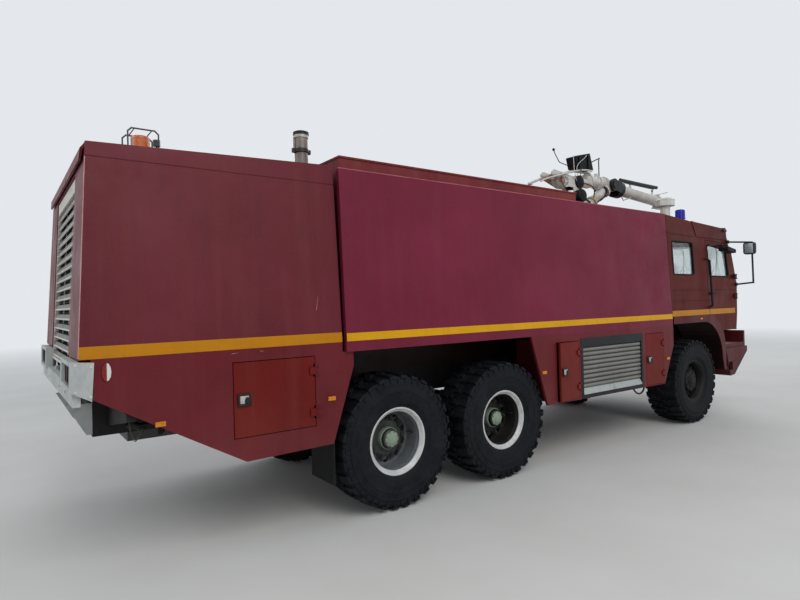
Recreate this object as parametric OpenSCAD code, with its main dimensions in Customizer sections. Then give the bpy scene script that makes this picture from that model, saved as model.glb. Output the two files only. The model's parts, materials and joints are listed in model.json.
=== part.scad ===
/* [Chassis] */
// Distance from the front axle back to the rearmost axle
wheelbase = 5169; // [4950:1:5300]
// Distance between the two rear axles
bogie_spacing = 1312; // [1280:1:1400]
// Distance of the rearmost axle behind the middle of the vehicle
rear_axle_back = 2155; // [2100:1:2200]
// Distance between the middles of a left and a right tyre
track = 1935; // [1900:1:1945]
// Distance from the middle line to the outside of a frame rail
rail_half = 420; // [400:1:430]
// Height of a frame rail
rail_h = 260; // [220:1:300]
// Height of the top of the frame rails above the ground
rail_top = 1110; // [1090:1:1130]
// Thickness of the rails' steel
rail_t = 12; // [8:1:20]
// Width of a rail's flange
rail_flange = 80; // [60:1:100]
// Distance from the middle of a front tyre in to its king pin
king_offset = 167.5; // [160:0.5:185]

/* [Wheels] */
// Outside diameter of a tyre
tyre_d = 1170; // [1140:1:1180]
// Width of a tyre
tyre_w = 445; // [420:1:455]
// Diameter of a rim over its flanges
rim_d = 600; // [590:1:612]
// Width of a rim over its flanges
rim_w = 384; // [370:1:390]
// Diameter of the hole circle in a wheel disc
hand_hole_pcd = 400; // [380:1:410]
// Diameter of a hand hole in a wheel disc
hand_hole_d = 58; // [40:1:64]
// Diameter of an axle spindle
spindle_d = 90; // [80:1:100]

/* [Tank body] */
// Width of the tank body over its side panels
tank_w = 2466; // [2440:1:2500]
// Rear end of the side panels, from the middle of the vehicle
tank_rear_x = -2694; // [-2700:1:-2680]
// Front end of the side panels, from the middle of the vehicle
tank_front_x = 2335; // [2325:1:2345]
// Height of the lower edge of the side panels
panel_low = 1402; // [1396:1:1410]
// Height of the top of the side panels
panel_top = 2900; // [2880:1:2915]
// Thickness of a side panel with its frame
panel_t = 40; // [30:1:50]
// Height of the raised roof deck
deck_top = 3020; // [3000:1:3050]
// Half width of the raised roof deck
deck_half = 1085; // [1060:1:1100]
// Front end of the raised roof deck, from the middle of the vehicle
deck_front_x = 520; // [450:1:580]
// Inward lean of the upper walls, per length of height
wall_lean = 0.0486; // [0.04:0.001:0.055]
// Height where the walls start to lean in
knee_z = 1500; // [1490:1:1510]

/* [Engine housing] */
// Width of the engine housing
housing_w = 2410; // [2390:1:2420]
// Rear end of the housing at its foot, from the middle of the vehicle
housing_rear_x = -4565; // [-4575:1:-4555]
// Front end of the housing, from the middle of the vehicle
housing_front_x = -2718; // [-2722:1:-2712]
// Height of the foot of the housing
housing_low = 1480; // [1476:1:1484]
// Height of the housing's roof at its rear
housing_top_rear = 2856; // [2840:1:2870]
// Height of the housing's roof at its front
housing_top_front = 2922; // [2900:1:2935]
// Thickness of the housing's walls
housing_wall = 35; // [25:1:45]
// Half width of the rear grille
grille_half = 650; // [630:1:660]
// Number of light slats in the rear grille
slat_count = 16; // [12:1:20]

/* [Skirts] */
// Thickness of the skirt walls
skirt_t = 28; // [20:1:30]
// Depth of the lockers from the outside of the skirt
locker_depth = 560; // [520:1:600]
// Thickness of the locker doors
locker_door_t = 24; // [18:1:26]
// Gap round every door
door_gap = 6; // [5.5:0.5:8]

/* [Cab] */
// Width of the cab
cab_w = 2400; // [2390:1:2420]
// Rear wall of the cab, from the middle of the vehicle
cab_rear_x = 2400; // [2392:1:2410]
// Thickness of the cab's walls and doors
cab_wall = 45; // [40:1:55]
// Thickness of the windows
glass_t = 6; // [5:1:8]
// Distance from the outside of the cab's walls to the windows
glass_inset = 14; // [10:1:20]
// Radius of the window corners
window_r = 45; // [30:1:60]
// Height of the cab floor
floor_z = 1440; // [1430:1:1450]

/* [Monitor] */
// Distance of the monitor's turning axis ahead of the middle of the vehicle
monitor_x = 2100; // [2090:1:2115]
// Height of the monitor's turning flange
monitor_flange_z = 3050; // [3040:1:3060]
// Tilt axis of the barrel, from the middle of the vehicle
tilt_x = 2784; // [2770:1:2800]
// Height of the tilt axis
tilt_z = 3530; // [3515:1:3545]
// Diameter of the barrel
barrel_d = 170; // [160:1:180]
// Downward slope of the parked barrel
barrel_slope = 4.3; // [3.5:0.1:4.4]
// Length of the barrel from the tilt axis to its mouth
barrel_l = 1480; // [1440:1:1500]

/* [Fits] */
// Gap between pieces that seat on each other without moving
seat_gap = 0.3; // [0.3:0.1:0.5]
// Gap round a shaft in its bore
run_gap = 0.5; // [0.3:0.1:1]

/* [Hidden] */
$fn = 48;
far = 1500;
wheel_r = tyre_d / 2;
rear_x = -rear_axle_back;
mid_x = rear_x + bogie_spacing;
front_x = rear_x + wheelbase;
wheel_y = track / 2;
king_y = wheel_y - king_offset;
tank_half = tank_w / 2;
housing_half = housing_w / 2;
cab_half = cab_w / 2;
frame_rear_x = -4400;
frame_front_x = 3900;
rail_low = rail_top - rail_h;
axle_r = 75;
locker_back = tank_half - locker_depth;

// A polygon of x and z, drawn out along y from y0 to y1
module slab_y(points, y0, y1)
  translate([0, y1, 0]) rotate([90, 0, 0]) linear_extrude(y1 - y0) polygon(points);

// A polygon of x and y, drawn out upward from z0 to z1
module slab_z(points, z0, z1)
  translate([0, 0, z0]) linear_extrude(z1 - z0) polygon(points);

// A polygon of y and z, drawn out along x from x0 to x1
module slab_x(points, x0, x1)
  translate([x0, 0, 0]) rotate([90, 0, 90]) linear_extrude(x1 - x0) polygon(points);

// A box between two corners
module box(from, to)
  translate(from) cube(to - from);

// A round bar between two points
module bar(a, b, d) {
  v = b - a;
  translate(a)
    rotate([0, acos(v[2] / norm(v)), atan2(v[1], v[0])])
      cylinder(h = norm(v), d = d);
}

// A round bar along y
module bar_y(x, z, y0, y1, d)
  translate([x, y0, z]) rotate([-90, 0, 0]) cylinder(h = y1 - y0, d = d);

// A bent tube through the given points, with a ball at each bend
bend_proud = 0.6;

module tube(points, d, $fn = 24) {
  for (i = [1 : len(points) - 1]) bar(points[i - 1], points[i], d);
  for (i = [1 : 1 : len(points) - 2]) translate(points[i]) sphere(d = d + bend_proud);
}

// A round bar along x, turned from an outline of radius and length
module turned_x(outline)
  rotate([0, 90, 0]) rotate_extrude() polygon(outline);

// The piece of the right side and its twin on the left side
module both_sides() {
  children();
  mirror([0, 1, 0]) children();
}

function box_outline(x0, x1, z0, z1) = [[x0, z0], [x1, z0], [x1, z1], [x0, z1]];

function outward(a, b) = [b[1] - a[1], a[0] - b[0]] / norm(b - a);

// The outline moved outward by d, for an outline that runs anticlockwise
function grown(points, d) = let (n = len(points)) [
  for (i = [0 : n - 1])
    let (a = points[(i + n - 1) % n], b = points[i], c = points[(i + 1) % n],
      p = outward(a, b), q = outward(b, c))
      b + d * (p + q) / (1 + p * q)];

// The outline with its corners rounded by radius r
function eased(points, r, steps = 4) = let (n = len(points)) [
  for (i = [0 : n - 1])
    let (b = points[i], a = points[(i + n - 1) % n] - b, c = points[(i + 1) % n] - b,
      p = a / norm(a), q = c / norm(c), half = acos(p * q) / 2,
      mid = b + (p + q) / norm(p + q) * r / sin(half),
      s = b + p * r / tan(half) - mid, e = b + q * r / tan(half) - mid,
      turn = 180 - 2 * half)
      for (k = [0 : steps])
        mid + (s * sin(turn * (1 - k / steps)) + e * sin(turn * k / steps)) / sin(turn)];

function arc_points(cx, cz, r, a0, a1, steps) =
  [for (k = [0 : steps]) let (a = a0 + (a1 - a0) * k / steps) [cx + r * cos(a), cz + r * sin(a)]];

// Cross section of a body whose walls stand up to the knee and lean in above it
function section(half, low, top, lean) = [
  [-half, low], [half, low], [half, knee_z],
  [half - lean * (top - knee_z), top], [-half + lean * (top - knee_z), top],
  [-half, knee_z]];

// Frame

module rail()
  difference() {
    box([frame_rear_x, -rail_half, rail_low], [frame_front_x, -rail_half + rail_flange, rail_top]);
    box([frame_rear_x - 1, -rail_half + rail_t, rail_low + rail_t],
      [frame_front_x + 1, -rail_half + rail_flange + 1, rail_top - rail_t]);
  }

cross_x = [frame_rear_x + 60, -2700, -1499, 60, 1500, 2350, frame_front_x - 60];
// Outriggers: place along the frame and reach from the middle line
outrigger_x = 0;
outrigger_reach = 1;
outriggers = [[-4270, housing_half - skirt_t], [-2880, housing_half - skirt_t], [110, locker_back],
  [960, locker_back], [1870, locker_back]];

module frame_rails() color("#2b2b2d") both_sides() rail();

module cross_members() color("#2b2b2d") {
  for (x = cross_x)
    box([x - 45, -rail_half + rail_t + seat_gap, rail_low + 50],
      [x + 45, rail_half - rail_t - seat_gap, rail_top - 50]);
  both_sides()
    for (o = outriggers)
      slab_x([[-o[outrigger_reach] + seat_gap, rail_top - 50], [-rail_half - seat_gap, rail_top - 190],
        [-rail_half - seat_gap, rail_top], [-o[outrigger_reach] + seat_gap, rail_top]],
        o[outrigger_x] - 30, o[outrigger_x] + 30);
}

engine_x0 = -4150;
engine_x1 = -2950;
engine_half = rail_half - rail_flange - 15;

module engine_block() color("#4a4b4d") {
  box([engine_x0, -engine_half, 760], [engine_x1, engine_half, 1760]);
  both_sides()
    for (x = [engine_x0 + 180, engine_x1 - 180])
      box([x - 60, -rail_half + 10, rail_top + seat_gap], [x + 60, -engine_half + 1, rail_top + 60]);
}

transfer_x = 900;

module transfer_case() color("#3a3b3d") {
  box([transfer_x - 190, -rail_half + rail_flange + 1, 800],
    [transfer_x + 190, rail_half - rail_flange - 1, 1040]);
  box([transfer_x - 190, -140, 560], [transfer_x + 190, 140, 801]);
  both_sides()
    box([transfer_x - 60, -rail_half + rail_t + seat_gap, 880],
      [transfer_x + 60, -rail_half + rail_flange + 2, 960]);
}

nose = 234;

module prop_shafts() color("#333436") {
  bar([rear_x + nose + seat_gap, 0, wheel_r], [mid_x - nose - seat_gap, 0, wheel_r], 90);
  bar([mid_x + nose + 2, 0, wheel_r], [transfer_x - 192, 0, wheel_r + 60], 90);
  bar([transfer_x + 192, 0, wheel_r + 60], [front_x - nose - 2, 0, wheel_r], 90);
}

// Casing with its gear bulge, drawn out to the hubs at both ends
module axle_casing(x, reach) {
  bar_y(x, wheel_r, -reach, reach, 2 * axle_r);
  translate([x, 0, wheel_r]) rotate([-90, 0, 0])
    rotate_extrude()
      polygon([[0, -210], [axle_r, -210], [185, -90], [185, 90], [axle_r, 210], [0, 210]]);
  bar([x - nose, 0, wheel_r], [x + nose, 0, wheel_r], 150);
}

// A spring brake chamber behind the axle, on its bracket
chamber_y = 560;
front_chamber_y = 500;
chamber_d = 150;

module brake_chamber(x, y = chamber_y) {
  translate([x - 130, -y, wheel_r + 95]) rotate([0, -90, 0])
    rotate_extrude()
      polygon([[0, 0], [chamber_d / 2 - 15, 0], [chamber_d / 2 - 5, 40], [chamber_d / 2, 60], [chamber_d / 2, 75],
        [chamber_d / 2 - 8, 80], [chamber_d / 2 - 8, 150], [chamber_d / 2 - 30, 175], [0, 175]]);
  box([x - 135, -y - 40, wheel_r - 30], [x - 60, -y + 40, wheel_r + 135]);
}

module rear_axles() color("#38393b")
  for (x = [rear_x, mid_x]) {
    axle_casing(x, wheel_y - 170);
    both_sides() brake_chamber(x);
    bar_y(x, wheel_r, -wheel_y - 20, wheel_y + 20, spindle_d);
    both_sides()
      box([x - 60, -rail_half + 5, wheel_r + 50], [x + 60, -rail_half + 85, wheel_r + 100]);
  }

fork_h = 150;

module front_axle() color("#38393b") {
  axle_casing(front_x, king_y - 130);
  both_sides() {
    difference() {
      box([front_x - 70, -king_y - 55, wheel_r - fork_h], [front_x + 70, -king_y + 140, wheel_r + fork_h]);
      box([front_x - 71, -king_y - 56, wheel_r - fork_h + 40], [front_x + 71, -king_y + 90, wheel_r + fork_h - 40]);
    }
    translate([front_x, -king_y, wheel_r - fork_h + 1]) cylinder(h = 2 * fork_h - 2, d = 50);
    box([front_x - 60, -rail_half + 5, wheel_r + 50], [front_x + 60, -rail_half + 85, wheel_r + 100]);
    brake_chamber(front_x, front_chamber_y);
  }
}

// A pack of spring leaves, bent up from its middle towards both ends
function spring_outline(x, span, low, rise, t) = concat(
  [for (k = [0 : 10]) let (u = k / 5 - 1) [x + span * u, low + rise * u * u]],
  [for (k = [10 : -1 : 0]) let (u = k / 5 - 1) [x + span * u, low + rise * u * u + t * (1.15 - 0.75 * u * u)]]);

module springs() color("#2f3032")
  both_sides() {
    slab_y(spring_outline(front_x, 640, wheel_r + 100 + seat_gap, 95, 66), -rail_half + 8, -rail_half + 82);
    for (s = [-1, 1])
      box([front_x + s * 600 - 30, -rail_half + 8, wheel_r + 190],
        [front_x + s * 600 + 30, -rail_half + 82, rail_low - seat_gap]);
    slab_y(spring_outline((rear_x + mid_x) / 2, 720, wheel_r + 165, -62, 66), -rail_half + 8, -rail_half + 82);
    box([(rear_x + mid_x) / 2 - 70, -rail_half + 8, wheel_r + 200],
      [(rear_x + mid_x) / 2 + 70, -rail_half + 82, rail_low - seat_gap]);
  }

// Air reservoirs under the outriggers, on brackets from the rails
air_tank_d = 230;
air_tank_y = 545;
air_tank_x0 = 240;
air_tank_x1 = 1060;
air_tank_z = 830;

module air_tanks() color("#2b2b2d")
  both_sides() {
    translate([air_tank_x0, -air_tank_y, air_tank_z])
      turned_x([[0, 0], [air_tank_d * 0.3, 8], [air_tank_d / 2 - 8, 34], [air_tank_d / 2, 60],
        [air_tank_d / 2, air_tank_x1 - air_tank_x0 - 60], [air_tank_d / 2 - 8, air_tank_x1 - air_tank_x0 - 34],
        [air_tank_d * 0.3, air_tank_x1 - air_tank_x0 - 8], [0, air_tank_x1 - air_tank_x0]]);
    for (x = [air_tank_x0 + 140, air_tank_x1 - 200]) {
      translate([x - 20, -air_tank_y, air_tank_z]) rotate([0, 90, 0]) cylinder(h = 40, d = air_tank_d + 10);
      slab_x([[-air_tank_y, air_tank_z + 60], [-rail_half - seat_gap, rail_low + 20],
        [-rail_half - seat_gap, rail_low + 150], [-air_tank_y, air_tank_z + air_tank_d / 2 + 5]], x - 20, x + 20);
    }
  }

// Body

module tank_body() color("#6d1f2c") {
  core_half = tank_half - panel_t - seat_gap;
  intersection() {
    slab_x(section(core_half, panel_low, panel_top, wall_lean), tank_rear_x + 54, tank_front_x - 1);
    box([-far * 4, -far, 0], [far * 4, far, far * 3]);
  }
  box([tank_rear_x + 54, -deck_half, panel_top - 1], [deck_front_x, deck_half, deck_top - 14]);
  box([tank_rear_x + 48, -deck_half - 10, deck_top - 15], [deck_front_x + 6, deck_half + 10, deck_top]);
  box([tank_rear_x + 54, -rail_half, rail_top + seat_gap], [tank_front_x - 1, rail_half, panel_low + 1]);
  for (x = manhole_x) {
    translate([x, 0, deck_top - 1]) cylinder(h = 31, d = manhole_d + 60);
    translate([x, 0, deck_top + 29]) cylinder(h = 25, d = manhole_d);
    translate([x - manhole_d / 2 - 10, 0, deck_top + 29]) rotate([-90, 0, 0]) cylinder(h = 160, d = 36, center = true);
  }
}

manhole_x = [-1900, -600];
manhole_d = 520;

module side_panels() color("#7c1f33")
  both_sides()
    slab_x([[-tank_half, panel_low], [-tank_half + panel_t, panel_low], [-tank_half + panel_t, knee_z],
      [-tank_half + panel_t + wall_lean * (panel_top - knee_z), panel_top],
      [-tank_half + wall_lean * (panel_top - knee_z), panel_top], [-tank_half, knee_z]],
      tank_rear_x, tank_front_x);

housing_lean = 0.069;
housing_side = [[housing_rear_x, housing_low], [housing_front_x, housing_low],
  [housing_front_x, housing_top_front], [housing_rear_x + 72, housing_top_rear]];

module housing_solid(inset)
  intersection() {
    slab_y(grown(housing_side, -inset), -far, far);
    slab_x(section(housing_half - inset, housing_low - 1, housing_top_front + 1, housing_lean),
      housing_rear_x - 1, housing_front_x + 1);
  }

grille_low = 1378;
grille_top = 2730;
grille_head = 105;

module engine_housing() color("#5b2229") {
  housing_hood();
  housing_shell();
}

module housing_shell()
  difference() {
    housing_solid(0);
    housing_solid(housing_wall);
    translate([0, 0, -housing_wall - 1]) housing_solid(housing_wall);
    box([housing_rear_x - 10, -grille_half - seat_gap, housing_low - 10],
      [housing_rear_x + 200, grille_half + seat_gap, grille_top]);
    both_sides()
      box([housing_rear_x - 10, -housing_half, seam_z - 4],
        [housing_front_x + 10, -housing_half + housing_lean * (seam_z - knee_z) + 4, seam_z + 4]);
  }

seam_z = 2761;
// The folded hood that hangs over the top of the grille, from its root down to its lip
hood_half = 1085;
hood_t = 14;
hood_root = [housing_rear_x + 74, housing_top_rear - 4];
hood_nose = [housing_rear_x + 46, housing_top_rear - 40];
hood_lip = [housing_rear_x + 40, housing_top_rear - 112];

module housing_hood()
  difference() {
    slab_y([hood_root, hood_nose, hood_lip, hood_lip + [hood_t, 0], hood_nose + [hood_t, -hood_t],
      hood_root - [2, 2 * hood_t]], -hood_half, hood_half);
    for (s = [-1, 1])
      slab_x([[s * hood_half, hood_lip[1] - 1], [s * (hood_half - 40), hood_lip[1] - 1], [s * hood_half, hood_nose[1]]],
        housing_rear_x - 20, housing_rear_x + 80);
  }

grille_lean = 72 / (housing_top_rear - housing_low);

module rear_grille() color("#c9c7be") {
  pitch = (grille_top - grille_head - 10 - grille_low) / slat_count;
  multmatrix([[1, 0, grille_lean, housing_rear_x - grille_lean * housing_low], [0, 1, 0, 0], [0, 0, 1, 0]]) {
    difference() {
      box([8, -grille_half, grille_low], [60, grille_half, grille_top - 10]);
      box([0, -grille_half + 22, grille_low + 20], [61, grille_half - 22, grille_top - grille_head]);
    }
    for (k = [0 : slat_count - 1])
      slab_y([[12, grille_low + pitch * (k + 0.40)], [22, grille_low + pitch * (k + 0.34)],
        [34, grille_low + pitch * (k + 0.86)], [24, grille_low + pitch * (k + 0.92)]],
        -grille_half + 12, grille_half - 12);
    box([50, -grille_half + 10, grille_low + 10], [56, grille_half - 10, grille_top - grille_head + 10]);
    for (y = [-grille_half / 3, grille_half / 3]) box([36, y - 8, grille_low + 10], [51, y + 8, grille_top - grille_head + 10]);
  }
}

// Hinges: an eye on the door turns on a pin between two lugs on the body

eye_h = 56;
eye_d = 20;
pin_d = 10;
lug_t = 10;
lug_room = 16;

module hinge_eye(x, y, z, strap) {
  translate([x, y, z - eye_h / 2]) cylinder(h = eye_h, d = eye_d);
  box([x - strap, y - eye_d / 2, z - eye_h / 2], [x - pin_d / 2 - 2, y - eye_d / 2 + 8, z + eye_h / 2]);
}

// The bore through one eye, with room for the lugs above and below it
module hinge_bore(x, y, z) {
  translate([x, y, z - eye_h / 2 - 1]) cylinder(h = eye_h + 2, d = pin_d + 2 * run_gap);
  for (s = [-1, 1])
    translate([x - lug_room, y - eye_d, z + s * (eye_h / 2 + 1 + lug_t) - lug_t - 1])
      cube([lug_room + 2 * pin_d, 2 * eye_d + 10, 2 * lug_t + 2]);
}

module hinge_pin(x, y, z, reach) {
  translate([x, y, z - eye_h / 2 - lug_t - 2]) cylinder(h = eye_h + 2 * lug_t + 4, d = pin_d);
  for (s = [-1, 1])
    box([x - pin_d / 2, y - eye_d / 2, z + s * (eye_h / 2 + 2 + lug_t / 2) - lug_t / 2],
      [x + reach, y + 6, z + s * (eye_h / 2 + 2 + lug_t / 2) + lug_t / 2]);
}

// Room in the wall for the eyes of one door
module hinge_room(x, y, z)
  translate([x, y, z - eye_h / 2 - 2]) cylinder(h = eye_h + 4, r = eye_d / 2 + 5);

function hinge_heights(outline) = let (h = outline[2][1] - outline[0][1])
  [outline[0][1] + 0.2 * h, outline[0][1] + 0.8 * h];
hinge_off = 4;

// Skirts

rear_skirt_side = [[-4500, housing_low], [-4483, 1225], [-3525, 672], [-2815, 684], [-2617, 1286],
  [-2617, panel_low - seat_gap], [housing_front_x, panel_low - seat_gap], [housing_front_x, housing_low]];
hatch_side = box_outline(-3610, -2970, 850, 1385);

module locker_box(outline, wall_y, back_y) {
  difference() {
    slab_y(grown(outline, 16), wall_y, back_y);
    slab_y(grown(outline, 6), wall_y - 1, back_y - 10);
  }
}

module rear_skirts() color("#75303a")
  both_sides() {
    difference() {
      slab_y(rear_skirt_side, -housing_half, -housing_half + skirt_t);
      slab_y(grown(hatch_side, door_gap), -housing_half - 1, -housing_half + skirt_t + 1);
      for (z = hinge_heights(hatch_side)) hinge_room(hatch_side[1][0] + 3, -housing_half - hinge_off, z);
    }
    for (z = hinge_heights(hatch_side)) hinge_pin(hatch_side[1][0] + 3, -housing_half - hinge_off, z, 36);
    locker_box(hatch_side, -housing_half + skirt_t - 0.1, -700);
  }

mid_skirt_side = [[-489, panel_low - seat_gap], [-250, 661], [2098, 650], [2337, 1137], [2337, panel_low - seat_gap]];
door_a_side = box_outline(-83, 300, 680, 1310);
shutter_side = box_outline(334, 1590, 661, 1336);
door_b_side = box_outline(1667, 2075, 664, 1316);

module mid_skirts() color("#75303a")
  both_sides() {
    difference() {
      slab_y(mid_skirt_side, -tank_half, -tank_half + skirt_t);
      slab_y(grown(door_a_side, door_gap), -tank_half - 1, -tank_half + skirt_t + 1);
      slab_y(grown(door_b_side, door_gap), -tank_half - 1, -tank_half + skirt_t + 1);
      slab_y(grown(shutter_side, seat_gap), -tank_half - 1, -tank_half + skirt_t + 1);
      for (o = [door_a_side, door_b_side], z = hinge_heights(o)) hinge_room(o[1][0] + 3, -tank_half - hinge_off, z);
    }
    for (o = [door_a_side, door_b_side], z = hinge_heights(o)) hinge_pin(o[1][0] + 3, -tank_half - hinge_off, z, o == door_a_side ? 22 : 36);
    locker_box(door_a_side, -tank_half + skirt_t - 0.1, -locker_back);
    locker_box(door_b_side, -tank_half + skirt_t - 0.1, -locker_back);
    difference() {
      slab_y(grown(shutter_side, 10), -tank_half + skirt_t - 0.1, -locker_back);
      slab_y(grown(shutter_side, 0.3), -tank_half + skirt_t - 1, -tank_half + skirt_t + 20);
      slab_y(grown(shutter_side, -20), -tank_half + skirt_t - 1, -locker_back - 10);
    }
  }

shutter_ribs = 9;

module shutters() color("#a8a396")
  both_sides() {
    difference() {
      slab_y(shutter_side, -tank_half - 4, -tank_half + 40);
      slab_y(grown(shutter_side, -38), -tank_half - 5, -tank_half + 41);
    }
    x0 = shutter_side[0][0] + 30;
    x1 = shutter_side[1][0] - 30;
    low = shutter_side[0][1] + 38;
    high = shutter_side[2][1] - roll_box_h;
    pitch = (high - low - foot_rail_h) / shutter_ribs;
    box([x0, -tank_half + 24, low - 5], [x1, -tank_half + 34, high + 5]);
    for (k = [0 : shutter_ribs - 1])
      slab_x(concat([[-tank_half + 25, low + foot_rail_h + pitch * (k + 1)], [-tank_half + 25, low + foot_rail_h + pitch * k]],
        [for (a = [-60 : 24 : 60])
          [-tank_half + 25 - rib_depth * cos(a) * 1.2, low + foot_rail_h + pitch * (k + 0.5 + 0.46 * sin(a) / sin(60))]]),
        x0, x1);
    slab_x([[-tank_half + 26, low - 5], [-tank_half - 6, low + 4], [-tank_half - 2, low + 22], [-tank_half + 26, low + foot_rail_h]], x0, x1);
    box([(x0 + x1) / 2 - 22, -tank_half - 12, low + 6], [(x0 + x1) / 2 + 22, -tank_half + 10, low + 30]);
    slab_x([[-tank_half + 36, high], [-tank_half - 2, high + 6], [-tank_half - 4, shutter_side[2][1] - 30],
      [-tank_half + 36, shutter_side[2][1] - 30]], x0, x1);
  }

roll_box_h = 105;
foot_rail_h = 74;
rib_depth = 13;

// One leaf of sheet with folded edges and a latch box
module locker_leaf(outline, face_y) {
  difference() {
    union() {
      slab_y(outline, face_y, face_y + locker_door_t);
      for (z = hinge_heights(outline)) hinge_eye(outline[1][0] + 3, face_y - hinge_off + 1, z, 50);
    }
    for (z = hinge_heights(outline)) hinge_bore(outline[1][0] + 3, face_y - hinge_off + 1, z);
  }
  latch_x = outline[0][0] + 30;
  latch_z = (outline[0][1] + outline[2][1]) / 2;
  difference() {
    slab_y(eased(box_outline(latch_x, latch_x + latch_w, latch_z - latch_h / 2, latch_z + latch_h / 2), 10),
      face_y - 14, face_y + 1);
    slab_y(box_outline(latch_x + 10, latch_x + latch_w - 10, latch_z - latch_h / 2 + 10, latch_z + latch_h / 2 - 10),
      face_y - 15, face_y - 5);
  }
  slab_y(box_outline(latch_x + 14, latch_x + latch_w / 2 + 10, latch_z - latch_h / 2 + 14, latch_z + latch_h / 2 - 14),
    face_y - 12, face_y - 4);
}

latch_w = 86;
latch_h = 76;

module rear_hatch_right() color("#8a2f30") locker_leaf(hatch_side, -housing_half - 1);
module rear_hatch_left() mirror([0, 1, 0]) rear_hatch_right();

ajar = 7;

module locker_a_shut() color("#8a2f30") locker_leaf(door_a_side, -tank_half - 1);

module locker_a_right() {
  hinge = [door_a_side[1][0] + 3, -tank_half - hinge_off, 0];
  translate(hinge) rotate([0, 0, ajar]) translate(-hinge) locker_a_shut();
}
module locker_a_left() mirror([0, 1, 0]) locker_a_shut();
module locker_b_right() color("#8a2f30") locker_leaf(door_b_side, -tank_half - 1);
module locker_b_left() mirror([0, 1, 0]) locker_b_right();

bumper_side = [[-4617, 1290], [-4498, 1225], [-4483, 1462], [-4611, 1472]];

module rear_bumper() color("#cfcfca") {
  both_sides() {
    difference() {
      slab_y(bumper_side, -tank_half - 2, -660);
      slab_y(box_outline(-4640, -4575, 1315, 1445), -1180, -720);
      slab_y([[-4560, 1190], [-4440, 1190], [-4440, 1500], [-4560, 1500]], -housing_half - 0.3, -600);
    }
    box([-4565, -rail_half, 1215], [-4400 - seat_gap, -rail_half + 80, 1330]);
    slab_y([[-4565, 1100], [-4400, 1100], [-4400, rail_low + 20], [-4440, rail_low + 20]], -rail_half, -rail_half + 12);
  }
  box([-4600, -1200, 1195], [-4555, 1200, 1308]);
}

module lamps() color("#b3261e")
  both_sides() {
    for (y = [-1165, -1050, -935])
      box([-4598, y, 1325], [-4575 - seat_gap, y + 100, 1435]);
    slab_y([for (a = [0 : 30 : 330]) [-4414 + 27 * cos(a), 1397 + 58 * sin(a)]], -housing_half - 12, -housing_half - seat_gap);
    for (y = headlamp_y)
      translate([bumper_face_x - headlamp_deep + seat_gap, -y, headlamp_z])
        turned_x([[0, 0], [headlamp_d / 2 - 1, 0], [headlamp_d / 2 - 1, headlamp_deep - 10], [headlamp_d * 0.35, headlamp_deep + 1],
          [0, headlamp_deep + 4]]);
    for (p = [[-4104, 1028], [-2830, 1044]])
      box([p[0] - 32, -housing_half - 14, p[1] - 16], [p[0] + 32, -housing_half - seat_gap, p[1] + 16]);
    for (p = [[-303, 1016], [2175, 973]])
      box([p[0] - 32, -tank_half - 14, p[1] - 16], [p[0] + 32, -tank_half - seat_gap, p[1] + 16]);
  }

module mudflaps() color("#1c1c1d")
  both_sides() {
    box([-2790, -1150, 330], [-2778, -760, 900]);
    box([-2806, -1150, 870], [-2777, -rail_half - seat_gap, 900]);
  }

bumper_face_x = 4610;
headlamp_y = [905, 690];
headlamp_z = 1085;
headlamp_d = 190;
headlamp_deep = 30;

// Cab

cab_lean = 0.046;
cab_side = [[cab_rear_x, 1258], [4280, 1258], [4384, 1951], [4275, 2431], [4127, 2664], [4120, 2810],
  [3960, 2800], [3180, 2840], [2950, 2860], [cab_rear_x, 2900]];
guard_x = 3260;
guard_z = 870;
guard_r = 540;
lip_r = 690;
lip_z = 1510;

module cab_solid(inset)
  intersection() {
    slab_y(grown(cab_side, -inset), -far, far);
    slab_x(section(cab_half - inset, 1200, 3000, cab_lean), cab_rear_x - 10, 4500);
  }

door_low = 1262;
door_rear_x = 3447;
door_arc_r = lip_r + door_gap;
function door_outline() = concat(
  [[4210, door_low], [4300, 1951], [4196, 2410], [4080, 2565], [door_rear_x, 2600], [door_rear_x, lip_z + door_gap]],
  arc_points(guard_x, guard_z, door_arc_r, asin((lip_z + door_gap - guard_z) / door_arc_r),
    asin((door_low - guard_z) / door_arc_r), 6));
door_window = [[3520, 2070], [4120, 2070], [4085, 2430], [4050, 2478], [3490, 2540]];
rear_window = [[2510, 2085], [3070, 2085], [3070, 2544], [2510, 2544]];

function lip_outline(r, top, rear) = concat(
  arc_points(guard_x, guard_z, r, asin((door_low - 60 - guard_z) / r), asin((top - guard_z) / r), 8),
  [[rear, top]]);

module cab_wheel_cut()
  slab_y(concat([[cab_rear_x - 20, 1000], [guard_x + 600, 1000]], lip_outline(lip_r + seat_gap, lip_z + seat_gap, cab_rear_x - 20)), -far, far);

screen_half = 1060;

module screen_cut(gap) {
  // The windscreen opening, across the front slope
  slab_x(eased([[-screen_half + gap, 1985 + gap], [-25 - gap, 1985 + gap], [-25 - gap, 2560 - gap],
    [-screen_half + 30 + gap, 2560 - gap]], window_r), 4060, 4450);
}

door_hinge_z = [1770, 2070];
door_hinge_x = 4303;
door_hinge_y = -cab_half - 6;

// The raised cap over the front half of the roof, with the gutter along its foot
cap_proud = 8;
gutter_z = 2632;
cap_side = [[3202, gutter_z], [4300, gutter_z], [4300, 2900], [3093, 2900], [3093, 2861]];
gutter_side = [[cab_rear_x, gutter_z + 22], [3200, gutter_z], [3200, gutter_z + 12], [cab_rear_x, gutter_z + 34]];

module roof_cap() {
  intersection() {
    cab_solid(-cap_proud);
    slab_y(cap_side, -far, far);
  }
  intersection() {
    cab_solid(-6);
    slab_y(gutter_side, -far, far);
    box([cab_rear_x, -far, 0], [far * 4, far, far * 3]);
  }
}

// Pressed lines along the side: height and end to end
crease_z = 0;
crease_x0 = 1;
crease_x1 = 2;
creases = [[1868, 2440, 4420], [1718, 2440, 3520]];

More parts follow.
